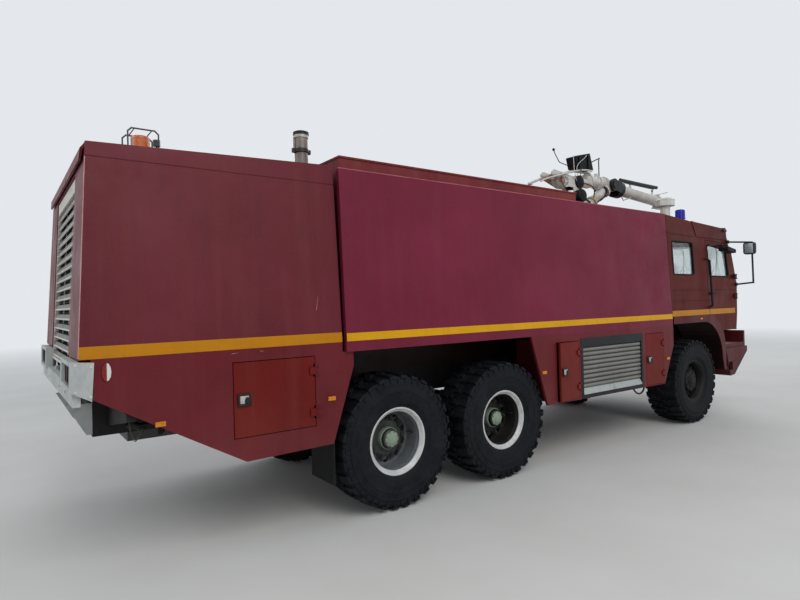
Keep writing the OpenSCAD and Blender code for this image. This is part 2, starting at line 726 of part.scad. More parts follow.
module side_creases()
  both_sides() {
    for (c = creases)
      box([c[crease_x0], -far, c[crease_z] - 4], [c[crease_x1], -cab_y(c[crease_z]) + 4, c[crease_z] + 4]);
    box([3246, -far, creases[1][crease_z]], [3252, -cab_y(1790) + 4, creases[0][crease_z]]);
  }

rail_x = 3400;
grab_off = 62;

module grab_rail()
  tube([[rail_x, -cab_y(1608) + 5, 1608], [rail_x + 10, -cab_y(1640) - grab_off, 1640], [rail_x + 22, -cab_y(2290) - grab_off, 2290],
    [rail_x, -cab_y(2330) + 5, 2330]], 28);

module cab_shell() color("#6f2f2c") {
  both_sides() grab_rail();
  both_sides()
    for (z = door_hinge_z) {
      hinge_pin(door_hinge_x, door_hinge_y, z, 22);
      for (s = [-1, 1])
        box([door_hinge_x + 6, door_hinge_y + 4, z + s * (eye_h / 2 + 2 + lug_t / 2) - lug_t / 2],
          [door_hinge_x + 22, -cab_half + 40, z + s * (eye_h / 2 + 2 + lug_t / 2) + lug_t / 2]);
    }
  difference() {
    union() {
      cab_solid(0);
      roof_cap();
    }
    cab_solid(cab_wall);
    side_creases();
    both_sides() {
      slab_y(grown(door_outline(), door_gap), -far, -cab_half + cab_wall + 90);
      slab_y(eased(rear_window, window_r), -far, -900);
      screen_cut(0);
    }
    cab_wheel_cut();
    box([cab_rear_x + cab_wall, -cab_half + cab_wall, 1000], [4280 - cab_wall, cab_half - cab_wall, floor_z]);
  }
}

guard_t = 6;

module cab_floor() color("#3b3634") {
  under = guard_z + guard_r + guard_t + seat_gap;
  box([cab_rear_x + cab_wall + seat_gap, -cab_half + cab_wall + door_gap, under],
    [4200, cab_half - cab_wall - door_gap, floor_z]);
  both_sides()
    for (x = [cab_rear_x + 130, frame_front_x - 90])
      box([x - 50, -rail_half + 10, rail_top + seat_gap], [x + 50, -rail_half + 70, under + 1]);
}

module cab_glass() color("#9fb4b4") {
  intersection() {
    difference() {
      cab_solid(glass_inset);
      cab_solid(glass_inset + glass_t);
    }
    both_sides() {
      slab_y(grown(eased(rear_window, window_r), -seat_gap), -far, -900);
      screen_cut(seat_gap);
    }
  }
}

// The kerb mirror over the window of the right door
module kerb_mirror() {
  slab_y(eased([[3690, 2440], [3950, 2405], [3960, 2460], [3700, 2500]], 18), -cab_y(2450) - 205, -cab_y(2450) - 75);
  for (x = [3740, 3900])
    tube([[x, -cab_y(2520) + 4, 2520], [x, -cab_y(2520) - 100, 2530], [x, -cab_y(2520) - 120, 2475]], 18);
}

module cab_door_right() {
  color("#6f2f2c") door_leaf();
  color("#1d1d1e") kerb_mirror();
}

module door_leaf()
  difference() {
    union() {
      difference() {
        intersection() {
          cab_solid(0);
          slab_y(door_outline(), -far, -cab_half + cab_wall + 90);
        }
        cab_solid(cab_wall);
        box([door_rear_x - 50, -cab_half + cab_wall, 1200], [4400, 0, knee_z]);
        slab_y(eased(door_window, window_r), -far, 0);
        side_creases();
      }
      slab_y(eased(box_outline(3480, 3625, 1796, 1832), 12), -cab_y(1814) - 26, -cab_y(1814) + 6);
      for (z = door_hinge_z) {
        hinge_eye(door_hinge_x, door_hinge_y, z, 70);
        box([door_hinge_x - 70, door_hinge_y - 6, z - eye_h / 2], [door_hinge_x - 45, -cab_half + 40, z + eye_h / 2]);
      }
    }
    for (z = door_hinge_z) hinge_bore(door_hinge_x, door_hinge_y, z);
  }
module cab_door_left() color("#6f2f2c") mirror([0, 1, 0]) door_leaf();

module door_glass_right() color("#9fb4b4")
  intersection() {
    difference() {
      cab_solid(glass_inset);
      cab_solid(glass_inset + glass_t);
    }
    slab_y(grown(eased(door_window, window_r), -seat_gap), -far, -900);
  }
module door_glass_left() mirror([0, 1, 0]) door_glass_right();

module dashboard() color("#2a2a2b") {
  slab_y([[4060, floor_z + seat_gap], [4180, floor_z + seat_gap], [4290, 1960], [4190, 2010], [3990, 1960], [3960, 1800]],
    -1080, 1080);
  translate([3860, 520, 2030]) rotate([0, -28, 0]) {
    rotate_extrude() translate([225, 0]) circle(d = 30);
    for (a = [0, 120, 240]) rotate([0, 0, a]) translate([0, -12, -6]) cube([225, 24, 12]);
    cylinder(h = 40, d = 80, center = true);
    translate([0, 0, -260]) cylinder(h = 260, d = 50);
  }
}

seat_half = 240;

module seats() color("#2c3038")
  for (y = [-640, 0, 640]) {
    slab_y(eased([[2850, 1640], [3380, 1640], [3400, 1780], [2850, 1755]], 40), y - seat_half, y + seat_half);
    slab_y(eased([[2840, 1700], [2960, 1700], [2890, 2240], [2790, 2240]], 35), y - seat_half, y + seat_half);
    slab_y(eased([[2800, 2225], [2880, 2225], [2850, 2430], [2780, 2430]], 25), y - 130, y + 130);
    slab_y([[2950, floor_z + seat_gap], [3330, floor_z + seat_gap], [3250, 1641], [3000, 1641]], y - 160, y + 160);
  }

guard_end_x = 3904.7;
guard_foot_z = 673;

function guard_band(t) = concat(
  [[cab_rear_x + 23, guard_z + guard_r]], arc_points(guard_x, guard_z, guard_r, 90, 0, 10),
  [[3847, guard_foot_z], [3847 + t, guard_foot_z]],
  arc_points(guard_x, guard_z, guard_r + t, 0, 90, 10), [[cab_rear_x + 23, guard_z + guard_r + t]]);

module mudguards() color("#6b2a2e")
  both_sides() {
    slab_y(guard_band(guard_t), -cab_half - 5, -640);
    difference() {
      slab_y(concat([[guard_end_x, guard_foot_z], [guard_end_x, 985]], lip_outline(lip_r, lip_z, cab_rear_x + 23),
        [[cab_rear_x + 23, guard_foot_z]]), -cab_half - 5, -cab_half + 30);
      slab_y(concat([[cab_rear_x - 30, guard_foot_z - 5], [3848, guard_foot_z - 5]],
        arc_points(guard_x, guard_z, guard_r, 0, 90, 10), [[cab_rear_x - 30, guard_z + guard_r]]),
        -cab_half - 10, -cab_half + 40);
    }
  }

bumper_low = 565;
bumper_knee = 910;
ledge_low = 985;
ledge_z = 1047;
bumper_top = 1225;
bumper_rear_x = 3905;
plate_t = 45;

module front_bumper() color("#6b2a2e") {
  difference() {
    slab_y([[4030, bumper_low], [4167, bumper_low + 10], [bumper_face_x, bumper_knee], [bumper_face_x, bumper_top],
      [bumper_face_x - plate_t, bumper_top], [bumper_face_x - plate_t - 5, ledge_z], [bumper_rear_x + 55, ledge_z],
      [bumper_rear_x + 55, ledge_low], [bumper_face_x - 70, ledge_low], [bumper_face_x - 70, bumper_knee + 20],
      [4150, bumper_low + 45], [4050, bumper_low + 45], [bumper_rear_x + 55, ledge_low - 45], [bumper_rear_x, ledge_low - 45]],
      -tank_half + 58, tank_half - 58);
    both_sides()
      for (y = headlamp_y)
        translate([bumper_face_x - headlamp_deep, -y, headlamp_z]) rotate([0, 90, 0]) cylinder(h = 60, d = headlamp_d);
    slab_z([[bumper_face_x - 20, -260], [bumper_face_x + 10, -260], [bumper_face_x + 10, 260], [bumper_face_x - 20, 260]],
      ledge_z - 90, ledge_z + 90);
  }
  both_sides() box([frame_front_x + seat_gap, -rail_half, rail_low], [bumper_rear_x + 70, -rail_half + rail_flange, ledge_z - 7]);
  both_sides()
    difference() {
      slab_y([[bumper_rear_x, ledge_low - 12], [4030, bumper_low], [4167, bumper_low + 10], [bumper_face_x + 5, bumper_knee],
        [bumper_face_x + 5, ledge_low], [bumper_rear_x, ledge_low]], -tank_half + 28, -tank_half + 73);
      slab_y(box_outline(3987, 4108, 649, 775), -far, far);
    }
}

function cab_y(z) = cab_half - cab_lean * (z - knee_z);

module mirrors() color("#1d1d1e")
  both_sides() {
    bar([4150, -1170, 2600], [4400, -1400, 2585], 26);
    bar([4400, -1400, 2597], [4420, -1400, 1958], 26);
    bar([4420, -1400, 1970], [4352, -1188, 1950], 26);
    box([4110, -1182, 2575], [4162, -cab_y(2575) - seat_gap, 2625]);
    box([4332, -1196, 1925], [4372, -cab_y(1925) - seat_gap, 1975]);
    slab_x(eased([[-1488, 2395], [-1330, 2395], [-1330, 2580], [-1488, 2580]], 38), 4268, 4330);
    bar([4325, -1400, 2480], [4405, -1400, 2480], 20);
  }

// Roof fittings

function housing_roof(x) = housing_top_front
  - (housing_front_x - x) * (housing_top_front - housing_top_rear) / (housing_front_x - housing_rear_x - 72);

module exhaust_stack() color("#5d4a3e") {
  translate([stack_x, -750, housing_roof(stack_x + stack_d / 2 + 25) + seat_gap]) {
    rotate_extrude()
      polygon([[0, 0], [stack_d / 2 + 25, 0], [stack_d / 2 + 25, 12], [stack_d / 2, 14], [stack_d / 2, 172], [stack_d / 2 + 8, 174],
        [stack_d / 2 + 8, 198], [stack_d / 2, 200], [stack_d / 2, 296], [stack_d / 2 + 5, 298], [stack_d / 2 + 5, 322],
        [stack_d / 2 + 11, 324], [stack_d / 2 + 11, 348], [stack_d / 2 - 2, 354], [stack_d / 2 - 12, 354], [stack_d / 2 - 6, 320],
        [stack_d / 2 - 6, 60], [0, 60]]);
    for (a = [0, 180]) rotate([0, 0, a]) box([stack_d / 2 - 3, -14, 168], [stack_d / 2 + 28, 14, 204]);
    bar([-stack_d / 2 - 12, 0, 200], [-stack_d / 2 - 12, 0, 300], 10);
  }
}

stack_x = -2815;
stack_d = 112;

module amber_beacon() color("#e07a1c") {
  translate([beacon_x, -600, housing_roof(beacon_x + hoop_reach + 10) + seat_gap]) {
    cylinder(h = 40, d = 150);
    rotate_extrude()
      polygon(concat([[0, 39], [67, 39], [67, 181]], arc_points(47, 181, 20, 0, 90, 4), [[0, 207]]));
    box([-hoop_reach - 10, -hoop_reach - 10, 0], [hoop_reach + 10, hoop_reach + 10, 8]);
    for (s = [-1, 1]) {
      tube([[-hoop_reach, s * hoop_reach, 4], [-hoop_reach, s * hoop_reach, hoop_h - 25], [-hoop_reach + 25, s * hoop_reach, hoop_h],
        [hoop_reach - 25, s * hoop_reach, hoop_h], [hoop_reach, s * hoop_reach, hoop_h - 25], [hoop_reach, s * hoop_reach, 4]], hoop_t);
      bar([s * 60, -hoop_reach, hoop_h], [s * 60, hoop_reach, hoop_h], hoop_t - 3);
    }
    translate([hoop_reach - 12, -hoop_reach + 10, 0]) {
      cylinder(h = 120, d = 14);
      translate([0, 0, 118]) cylinder(h = 45, d = 52);
    }
  }
}

beacon_x = -4066;
hoop_reach = 105;
hoop_h = 228;
hoop_t = 12;

blue_x = 3450;
vent_x = 2840;

function cab_roof(x) = lookup(x, [for (i = [6 : 9]) cab_side[i]]);

module blue_beacons() color("#1f3fae")
  both_sides()
    translate([blue_x, -800, cab_roof(blue_x - 75) + cap_proud + 2 * seat_gap]) {
      cylinder(h = 25, d = 150);
      cylinder(h = 110, d = 110);
      translate([0, 0, 109])
        rotate_extrude()
          polygon(concat([[0, 0], [76, 0], [76, 14], [70, 18], [70, 125]], arc_points(45, 125, 25, 0, 90, 4), [[0, 152]]));
    }

module roof_vent() color("#e8e6df")
  translate([vent_x, -900, cab_roof(vent_x - 100) + seat_gap]) {
    cylinder(h = 20, d = 200);
    cylinder(h = 210, d = 130);
    translate([0, 0, 206]) cylinder(h = 84, d = 264, $fn = 8);
    translate([0, 0, 289]) cylinder(h = 28, d1 = 258, d2 = 190);
  }

// Monitor

flange_d = 300;
pipe_d = 150;

module monitor_base() color("#e4e2da")
  translate([monitor_x, 0, 0]) {
    rotate_extrude()
      polygon([[0, panel_top + seat_gap], [210, panel_top + seat_gap], [210, panel_top + 20], [120, panel_top + 24],
        [105, panel_top + 40], [105, monitor_flange_z - 34], [120, monitor_flange_z - 26], [flange_d / 2, monitor_flange_z - 24],
        [flange_d / 2, monitor_flange_z], [0, monitor_flange_z]]);
    for (a = [0 : 60 : 359]) rotate([0, 0, a])
      slab_y([[100, panel_top + 19], [200, panel_top + 19], [110, panel_top + 110], [100, panel_top + 110]], -5, 5);
  }

// One flange ring round a pipe along the line from a to b, at the share u of its length
module ring_on(a, b, u, d, t) {
  v = b - a;
  translate(a + u * v)
    rotate([0, acos(v[2] / norm(v)), atan2(v[1], v[0])])
      translate([0, 0, -t / 2]) cylinder(h = t, d = d);
}

swivel_top = monitor_flange_z + 95;
leg_foot = [monitor_x, 0, monitor_flange_z + 10];
leg_top = [tilt_x + 20, 0, tilt_z - 18];
body_x0 = 110;
body_z = 30;
body_l = tilt_x - monitor_x - body_x0;
trunnion_d = 190;
trunnion_half = 115;
plate_y = 95;
plate_half_t = 5;
bar_size = 38;
wheel_at = [-493, -73];
wheel_r_hand = 74;
wheel_off = 32;
motor_top = [-146, -39];
motor_low = [-215, -262];
motor_neck = 60;
guard_path = [[-1090, -145], [-1060, -125], [-910, -69], [-498, 49], [-120, 142], [270, 150]];
rack = [[-770, 30], [-730, -30], [-410, -130], motor_low + [-60, 132], motor_low + [-50, -50],
  motor_low + [50, -50], motor_low + [70, 132], [190, -90], [190, 10], [-300, 30], [-700, 80]];

module hand_wheel()
  translate([wheel_at[0], -plate_y - wheel_off, wheel_at[1]]) rotate([90, 0, 0]) {
    rotate_extrude() translate([wheel_r_hand, 0]) circle(d = 22, $fn = 16);
    for (a = [0, 120, 240]) rotate([0, 0, a]) translate([0, -7, -5]) cube([wheel_r_hand - 2, 14, 10]);
    translate([0, 0, -50]) cylinder(h = 58, d = 40);
  }

module monitor_head() color("#e4e2da") {
  translate([monitor_x, 0, 0])
    rotate_extrude()
      polygon([[0, monitor_flange_z + run_gap], [flange_d / 2, monitor_flange_z + run_gap], [flange_d / 2, monitor_flange_z + 24],
        [120, monitor_flange_z + 28], [100, monitor_flange_z + 40], [100, swivel_top - 20], [80, swivel_top], [0, swivel_top]]);
  intersection() {
    bar(leg_foot, leg_top, pipe_d);
    box([0, -far, monitor_flange_z + run_gap], [far * 3, far, far * 3]);
  }
  ring_on(leg_foot, leg_top, 0.4, pipe_d + 44, 30);
  ring_on(leg_foot, leg_top, 0.86, pipe_d + 60, 36);
  bar_y(tilt_x, tilt_z, -trunnion_half, trunnion_half, trunnion_d);
  translate([monitor_x, 0, tilt_z]) {
    translate([body_x0, 0, body_z])
      turned_x([[0, 0], [70, 0], [96, 20], [96, 60], [112, 62], [112, 92], [84, 94], [84, 300], [108, 302], [108, 334], [84, 336],
        [84, body_l - 104], [108, body_l - 102], [108, body_l - 68], [90, body_l - 64], [90, body_l], [0, body_l]]);
    for (x = [230, 420]) translate([x, 0, body_z + 60]) cylinder(h = 75, d = 54);
    difference() {
      for (y = [-plate_y, plate_y]) slab_y(eased(rack, 18), y - plate_half_t, y + plate_half_t);
      bar_y(motor_top[0], motor_top[1], -far, far, motor_neck + 2 * seat_gap);
    }
    for (x = [-700, -460]) bar_y(x, 10, -plate_y - 3, plate_y + 3, 40);
    hand_wheel();
    tube([for (q = guard_path) [q[0], 0, q[1]]], bar_size);
    bar_y(guard_path[0][0], guard_path[0][1], -32, 32, bar_size + 4);
    for (x = [-460, 200]) translate([x, 0, x > 0 ? 60 : 10]) cylinder(h = x > 0 ? 90 : 46, d = 26);
  }
}

// Black drives and the box over them
drive_box = [[-175, 160.6], [200, 168.3], [122, 413], [-225, 330]];

module monitor_drives() color("#1f2022")
  translate([monitor_x, 0, tilt_z]) {
    // Upper motor between the bracket plates, its cap outside the near one
    translate([motor_top[0], 0, motor_top[1]]) rotate([90, 0, 0])
      rotate_extrude()
        polygon([[0, -plate_y + plate_half_t + seat_gap], [70, -plate_y + plate_half_t + seat_gap], [97, -74], [97, 60], [90, 64],
          [90, plate_y - plate_half_t - seat_gap], [motor_neck / 2, plate_y - plate_half_t - seat_gap],
          [motor_neck / 2, plate_y + plate_half_t + seat_gap], [92, plate_y + plate_half_t + seat_gap], [92, 122], [40, 130], [0, 130]]);
    // Lower motor on the drop arm
    translate([motor_low[0], -plate_y - plate_half_t - seat_gap, motor_low[1]]) rotate([90, 0, 0])
      rotate_extrude()
        polygon([[0, 0], [74, 0], [90, 14], [90, 84], [96, 86], [96, 104], [84, 118], [36, 122], [0, 122]]);
    slab_y(eased(drive_box, 14), -110, 60);
    for (x = [-150, 60])
      slab_y([[x, 172], [x + 26, 172], [x + 26, 365 + x * 0.2], [x, 359 + x * 0.2]], -122, -109);
    tube([[120, -60, 260], [300, -60, 337], [430, -60, 392], [500, 0, 375], [500, 0, body_z + 84 + seat_gap]], 16);
    tube([[-170, 10, 200], [-440, 10, 235], [-530, 10, 340], [-560, 10, 395]], 12);
    translate([-562, 10, 400]) sphere(d = 40, $fn = 24);
  }

collar_x0 = 185;
collar_x1 = 330;
collar_d = 272;
barrel_wall = 8;
bore_l = 940;

// Collar and barrel in one turned piece, along +x
module barrel_turned()
  turned_x([[0, collar_x0 - 40], [80, collar_x0 - 40], [100, collar_x0], [collar_d / 2 - 12, collar_x0], [collar_d / 2, collar_x0 + 12],
    [collar_d / 2, collar_x1 - 12], [collar_d / 2 - 12, collar_x1], [barrel_d / 2 + 12, collar_x1 + 2],
    [barrel_d / 2 + 12, collar_x1 + 30], [barrel_d / 2, collar_x1 + 32], [barrel_d / 2, barrel_l - 30],
    [barrel_d / 2 + 10, barrel_l - 28], [barrel_d / 2 + 10, barrel_l], [barrel_d / 2 - barrel_wall, barrel_l],
    [barrel_d / 2 - barrel_wall, barrel_l - bore_l], [0, barrel_l - bore_l]]);

strut_d = 56;
strut_x0 = 370;
strut_x1 = barrel_l - 30;
strut_z0 = 171;
strut_z1 = 239;
jaw_l = 350;
jaw_root = 40;
// How far the upper and the lower jaw stand open
jaw_open = [18, -3];

// One jaw that spreads the jet, hinged above or below the mouth
module jaw(s, open)
  translate([barrel_l - jaw_root, 0, s * (barrel_d / 2 + 22)]) {
    bar_y(0, 0, -70, 70, 26);
    slab_y([[-24, -s * 30], [24, -s * 30], [12, s * 4], [-12, s * 4]], -50, 50);
    rotate([0, -s * open, 0])
      slab_z([[0, -66], [jaw_l * 0.5, -84], [jaw_l, -30], [jaw_l, 30], [jaw_l * 0.5, 84], [0, 66]], -4, 4);
  }

module monitor_barrel() color("#e4e2da")
  translate([tilt_x, 0, tilt_z]) rotate([0, barrel_slope, 0]) {
    barrel_turned();
    both_sides() {
      bar_y(0, 0, -158, -trunnion_half - run_gap, trunnion_d);
      bar_y(0, 0, -170, -157, 120);
      slab_y([[-10, -70], [collar_x0 + 10, -95], [collar_x0 + 10, 95], [-10, 70]], -154, -122);
    }
    jaw(1, jaw_open[0]);
    jaw(-1, jaw_open[1]);
    // Gas strut on its rail over the barrel
    bar([strut_x0, 0, strut_z0], [strut_x1, 0, strut_z1], strut_d);
    slab_y([[collar_x1 - 60, collar_d / 2 - 12], [collar_x1 + 10, collar_d / 2 - 12], [strut_x0 + 90, strut_z0 - 8],
      [strut_x0, strut_z0 + 4]], -14, 14);
    slab_y([[strut_x0 + 60, strut_z0 - 36], [strut_x1 - 90, strut_z1 - 50], [strut_x1 - 90, strut_z1 - 22], [strut_x0 + 60, strut_z0 - 10]],
      -9, 9);
    for (x = [strut_x0 + 260, strut_x1 - 160])
      slab_y([[x, barrel_d / 2 - 6], [x + 50, barrel_d / 2 - 6], [x + 36, strut_z0 + 4], [x + 14, strut_z0 + 4]], -8, 8);
    // Lever and link under the barrel
    tube([[collar_x1 + 20, -30, -barrel_d / 2 - 4], [collar_x1 + 90, -30, -barrel_d / 2 - 70], [collar_x1 + 300, -30, -barrel_d / 2 + 4]], 16);
    bar_y(barrel_l - 90, -52, -barrel_d / 2 - 40, -74, 54);
  }

// Wheels, drawn with the outside towards +z and then turned to the vehicle's sides

module on_side(x, side)
  translate([x, side * wheel_y, wheel_r]) rotate([side > 0 ? -90 : 90, 0, 0]) children();

module tyre_shape() color("#1e1e20")
  difference() {
    rotate_extrude($fn = lug_count)
      polygon([[rim_d / 2 - 14 + seat_gap, -rim_w / 2 + 30], [rim_d / 2 + 12, -rim_w / 2 - 2],
        [wheel_r - 60, -tyre_w / 2], [wheel_r, -tyre_w / 2 + 45],
        [wheel_r, tyre_w / 2 - 45], [wheel_r - 60, tyre_w / 2],
        [rim_d / 2 + 12, rim_w / 2 + 2], [rim_d / 2 - 14 + seat_gap, rim_w / 2 - 30]]);
    for (a = [0 : 360 / lug_count : 359]) rotate([0, 0, a])
      translate([wheel_r - groove_deep, -groove_w / 2, -tyre_w]) cube([groove_deep + 10, groove_w, 2 * tyre_w]);
  }

lug_count = 30;
groove_w = 30;
groove_deep = 16;

module rim_shape(disc_z, nose)
  difference() {
    union() {
      rotate_extrude($fn = lug_count)
        polygon([[rim_d / 2 - 50, -rim_w / 2 + 60], [rim_d / 2 - 22, -rim_w / 2 + 10], [rim_d / 2, -rim_w / 2], [rim_d / 2, -rim_w / 2 + 8],
          [rim_d / 2 - 14, -rim_w / 2 + 30], [rim_d / 2 - 16, rim_w / 2 - 30], [rim_d / 2, rim_w / 2 - 8],
          [rim_d / 2, rim_w / 2], [rim_d / 2 - 22, rim_w / 2 - 10], [rim_d / 2 - 50, rim_w / 2 - 80]]);
      translate([0, 0, disc_z - 14]) cylinder(h = 14, d = rim_d - 40);
      translate([0, 0, disc_z - 120])
        rotate_extrude()
          polygon([[0, 0], [110, 0], [110, 60], [95, 80], [95, 118 + nose * 0.6], [84, 126 + nose * 0.6], [84, 114 + nose],
            [76, 120 + nose], [0, 120 + nose]]);
      translate([0, 0, disc_z - 1]) cylinder(h = 30, d1 = 400, d2 = 300);
      for (a = [0 : 36 : 359]) rotate([0, 0, a]) translate([167, 0, disc_z - 30]) cylinder(h = 62, d = 30, $fn = 6);
    }
    for (a = [18 : 36 : 359]) rotate([0, 0, a]) translate([hand_hole_pcd / 2, 0, disc_z - 30]) cylinder(h = 60, d = hand_hole_d);
    translate([0, 0, disc_z - 121]) cylinder(h = 121 + 60, d = spindle_d + 2 * run_gap);
  }

module rim_rear() color("#b9b9b4") rim_shape(-20, 110);
module rim_front() color("#26272a") rim_shape(40, 60);

module tyre_front_left() on_side(front_x, 1) tyre_shape();
module tyre_front_right() on_side(front_x, -1) tyre_shape();
module tyre_mid_left() on_side(mid_x, 1) tyre_shape();
module tyre_mid_right() on_side(mid_x, -1) tyre_shape();
module tyre_rear_left() on_side(rear_x, 1) tyre_shape();
module tyre_rear_right() on_side(rear_x, -1) tyre_shape();
module rim_front_left() on_side(front_x, 1) rim_front();
module rim_front_right() on_side(front_x, -1) rim_front();
module rim_mid_left() on_side(mid_x, 1) rim_rear();
module rim_mid_right() on_side(mid_x, -1) rim_rear();
module rim_rear_left() on_side(rear_x, 1) rim_rear();
module rim_rear_right() on_side(rear_x, -1) rim_rear();

module knuckle_right() color("#38393b") {
  difference() {
    box([front_x - 55, -king_y - 50, wheel_r - fork_h + 46], [front_x + 55, -king_y + 50, wheel_r + fork_h - 46]);
    translate([front_x, -king_y, 0]) cylinder(h = 2 * wheel_r, d = 50 + 2 * run_gap);
  }
  difference() {
    bar_y(front_x, wheel_r, -wheel_y - 90, -king_y - 49, spindle_d);
  }
}
module knuckle_left() mirror([0, 1, 0]) knuckle_right();

frame_rails();
cross_members();
engine_block();
transfer_case();
prop_shafts();
front_axle();
rear_axles();
springs();
air_tanks();
tank_body();
side_panels();
engine_housing();
rear_grille();
rear_skirts();
mid_skirts();
shutters();
rear_bumper();
lamps();
mudflaps();
cab_shell();
cab_floor();
cab_glass();
dashboard();
seats();
mudguards();
front_bumper();
mirrors();
exhaust_stack();
amber_beacon();
blue_beacons();
roof_vent();
monitor_base();
monitor_head();
monitor_drives();
monitor_barrel();
cab_door_left();
cab_door_right();
door_glass_left();
door_glass_right();
rear_hatch_left();
rear_hatch_right();
locker_a_left();
locker_a_right();
locker_b_left();
locker_b_right();
knuckle_left();
knuckle_right();
rim_front_left();
rim_front_right();
rim_mid_left();
rim_mid_right();
rim_rear_left();
rim_rear_right();
tyre_front_left();
tyre_front_right();
tyre_mid_left();
tyre_mid_right();
tyre_rear_left();
tyre_rear_right();
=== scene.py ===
import json
import math
import bpy
import bmesh
from mathutils import Matrix, Vector


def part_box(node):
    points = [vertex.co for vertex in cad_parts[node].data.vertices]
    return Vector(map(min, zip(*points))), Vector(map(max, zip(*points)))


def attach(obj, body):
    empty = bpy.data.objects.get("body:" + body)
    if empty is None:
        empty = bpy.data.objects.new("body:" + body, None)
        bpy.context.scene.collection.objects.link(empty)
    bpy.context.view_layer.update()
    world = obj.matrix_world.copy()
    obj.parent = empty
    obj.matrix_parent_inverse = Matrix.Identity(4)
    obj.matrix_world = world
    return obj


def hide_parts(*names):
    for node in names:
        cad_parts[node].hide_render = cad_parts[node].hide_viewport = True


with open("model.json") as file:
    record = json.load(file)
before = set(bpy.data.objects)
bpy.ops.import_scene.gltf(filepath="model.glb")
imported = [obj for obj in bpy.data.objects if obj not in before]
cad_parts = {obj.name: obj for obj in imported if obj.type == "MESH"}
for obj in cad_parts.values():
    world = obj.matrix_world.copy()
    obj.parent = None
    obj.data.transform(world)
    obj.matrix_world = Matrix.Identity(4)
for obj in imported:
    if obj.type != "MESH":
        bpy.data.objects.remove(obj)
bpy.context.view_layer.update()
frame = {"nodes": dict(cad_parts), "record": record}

# Camera at the photograph's angle, from behind on the right

photoCamera = {"place": (-4.973, -5.097, 1.776), "yaw": -0.63, "pitch": 0.007, "roll": 0.025, "lens": 25.07,
               "sensor": 36}


def addObject(name, data):
    thing = bpy.data.objects.new(name, data)
    bpy.context.scene.collection.objects.link(thing)
    return thing


def placeCamera(spec):
    yaw, pitch, roll = spec["yaw"], spec["pitch"], spec["roll"]
    look = Vector((-math.sin(yaw) * math.cos(pitch), math.cos(yaw) * math.cos(pitch), math.sin(pitch)))
    right = Vector((math.cos(yaw), math.sin(yaw), 0))
    down = look.cross(right)
    side = math.cos(roll) * right + math.sin(roll) * down
    drop = -math.sin(roll) * right + math.cos(roll) * down
    data = bpy.data.cameras.new("photoCamera")
    data.sensor_width = spec["sensor"]
    data.lens = spec["lens"]
    camera = addObject("photoCamera", data)
    turn = Matrix((side, -drop, -look)).transposed().to_4x4()
    camera.matrix_world = Matrix.Translation(spec["place"]) @ turn
    bpy.context.scene.camera = camera


placeCamera(photoCamera)
print("camera placed")

# Where the wheels, the bodies and the walls are

# half width, lean above the foot
walls = {"foot": 1.5, "tank": (1.233, 0.0486), "housing": (1.205, 0.069), "cab": (1.2, 0.046)}
flanks = (("left", 1), ("right", -1))
wheels = [(place + "_" + side, place, out) for side, out in flanks for place in ("front", "mid", "rear")]


def bodyOf(node):
    return next(b for b, nodes in frame["record"]["behaviour"]["bodies"].items() if node in nodes)


def boxOf(node):  # the middle of a node's box, and half its size
    low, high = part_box(node)
    return (low + high) / 2, (high - low) / 2


def wallY(z, wall):  # how far out a side wall stands at height z
    half, lean = walls[wall]
    return half - lean * max(0.0, z - walls["foot"])


def roundAxle(centre, y, radius, count, phase=0.0):  # points evenly round a wheel's axle
    for i in range(count):
        a = (i + phase) * math.tau / count
        yield Vector((centre.x + radius * math.cos(a), y, centre.z + radius * math.sin(a)))


# Material helpers


def tint(code):
    parts = [int(code[i:i + 2], 16) / 255 for i in (1, 3, 5)]
    return tuple(c / 12.92 if c < 0.04045 else ((c + 0.055) / 1.055) ** 2.4 for c in parts) + (1,)


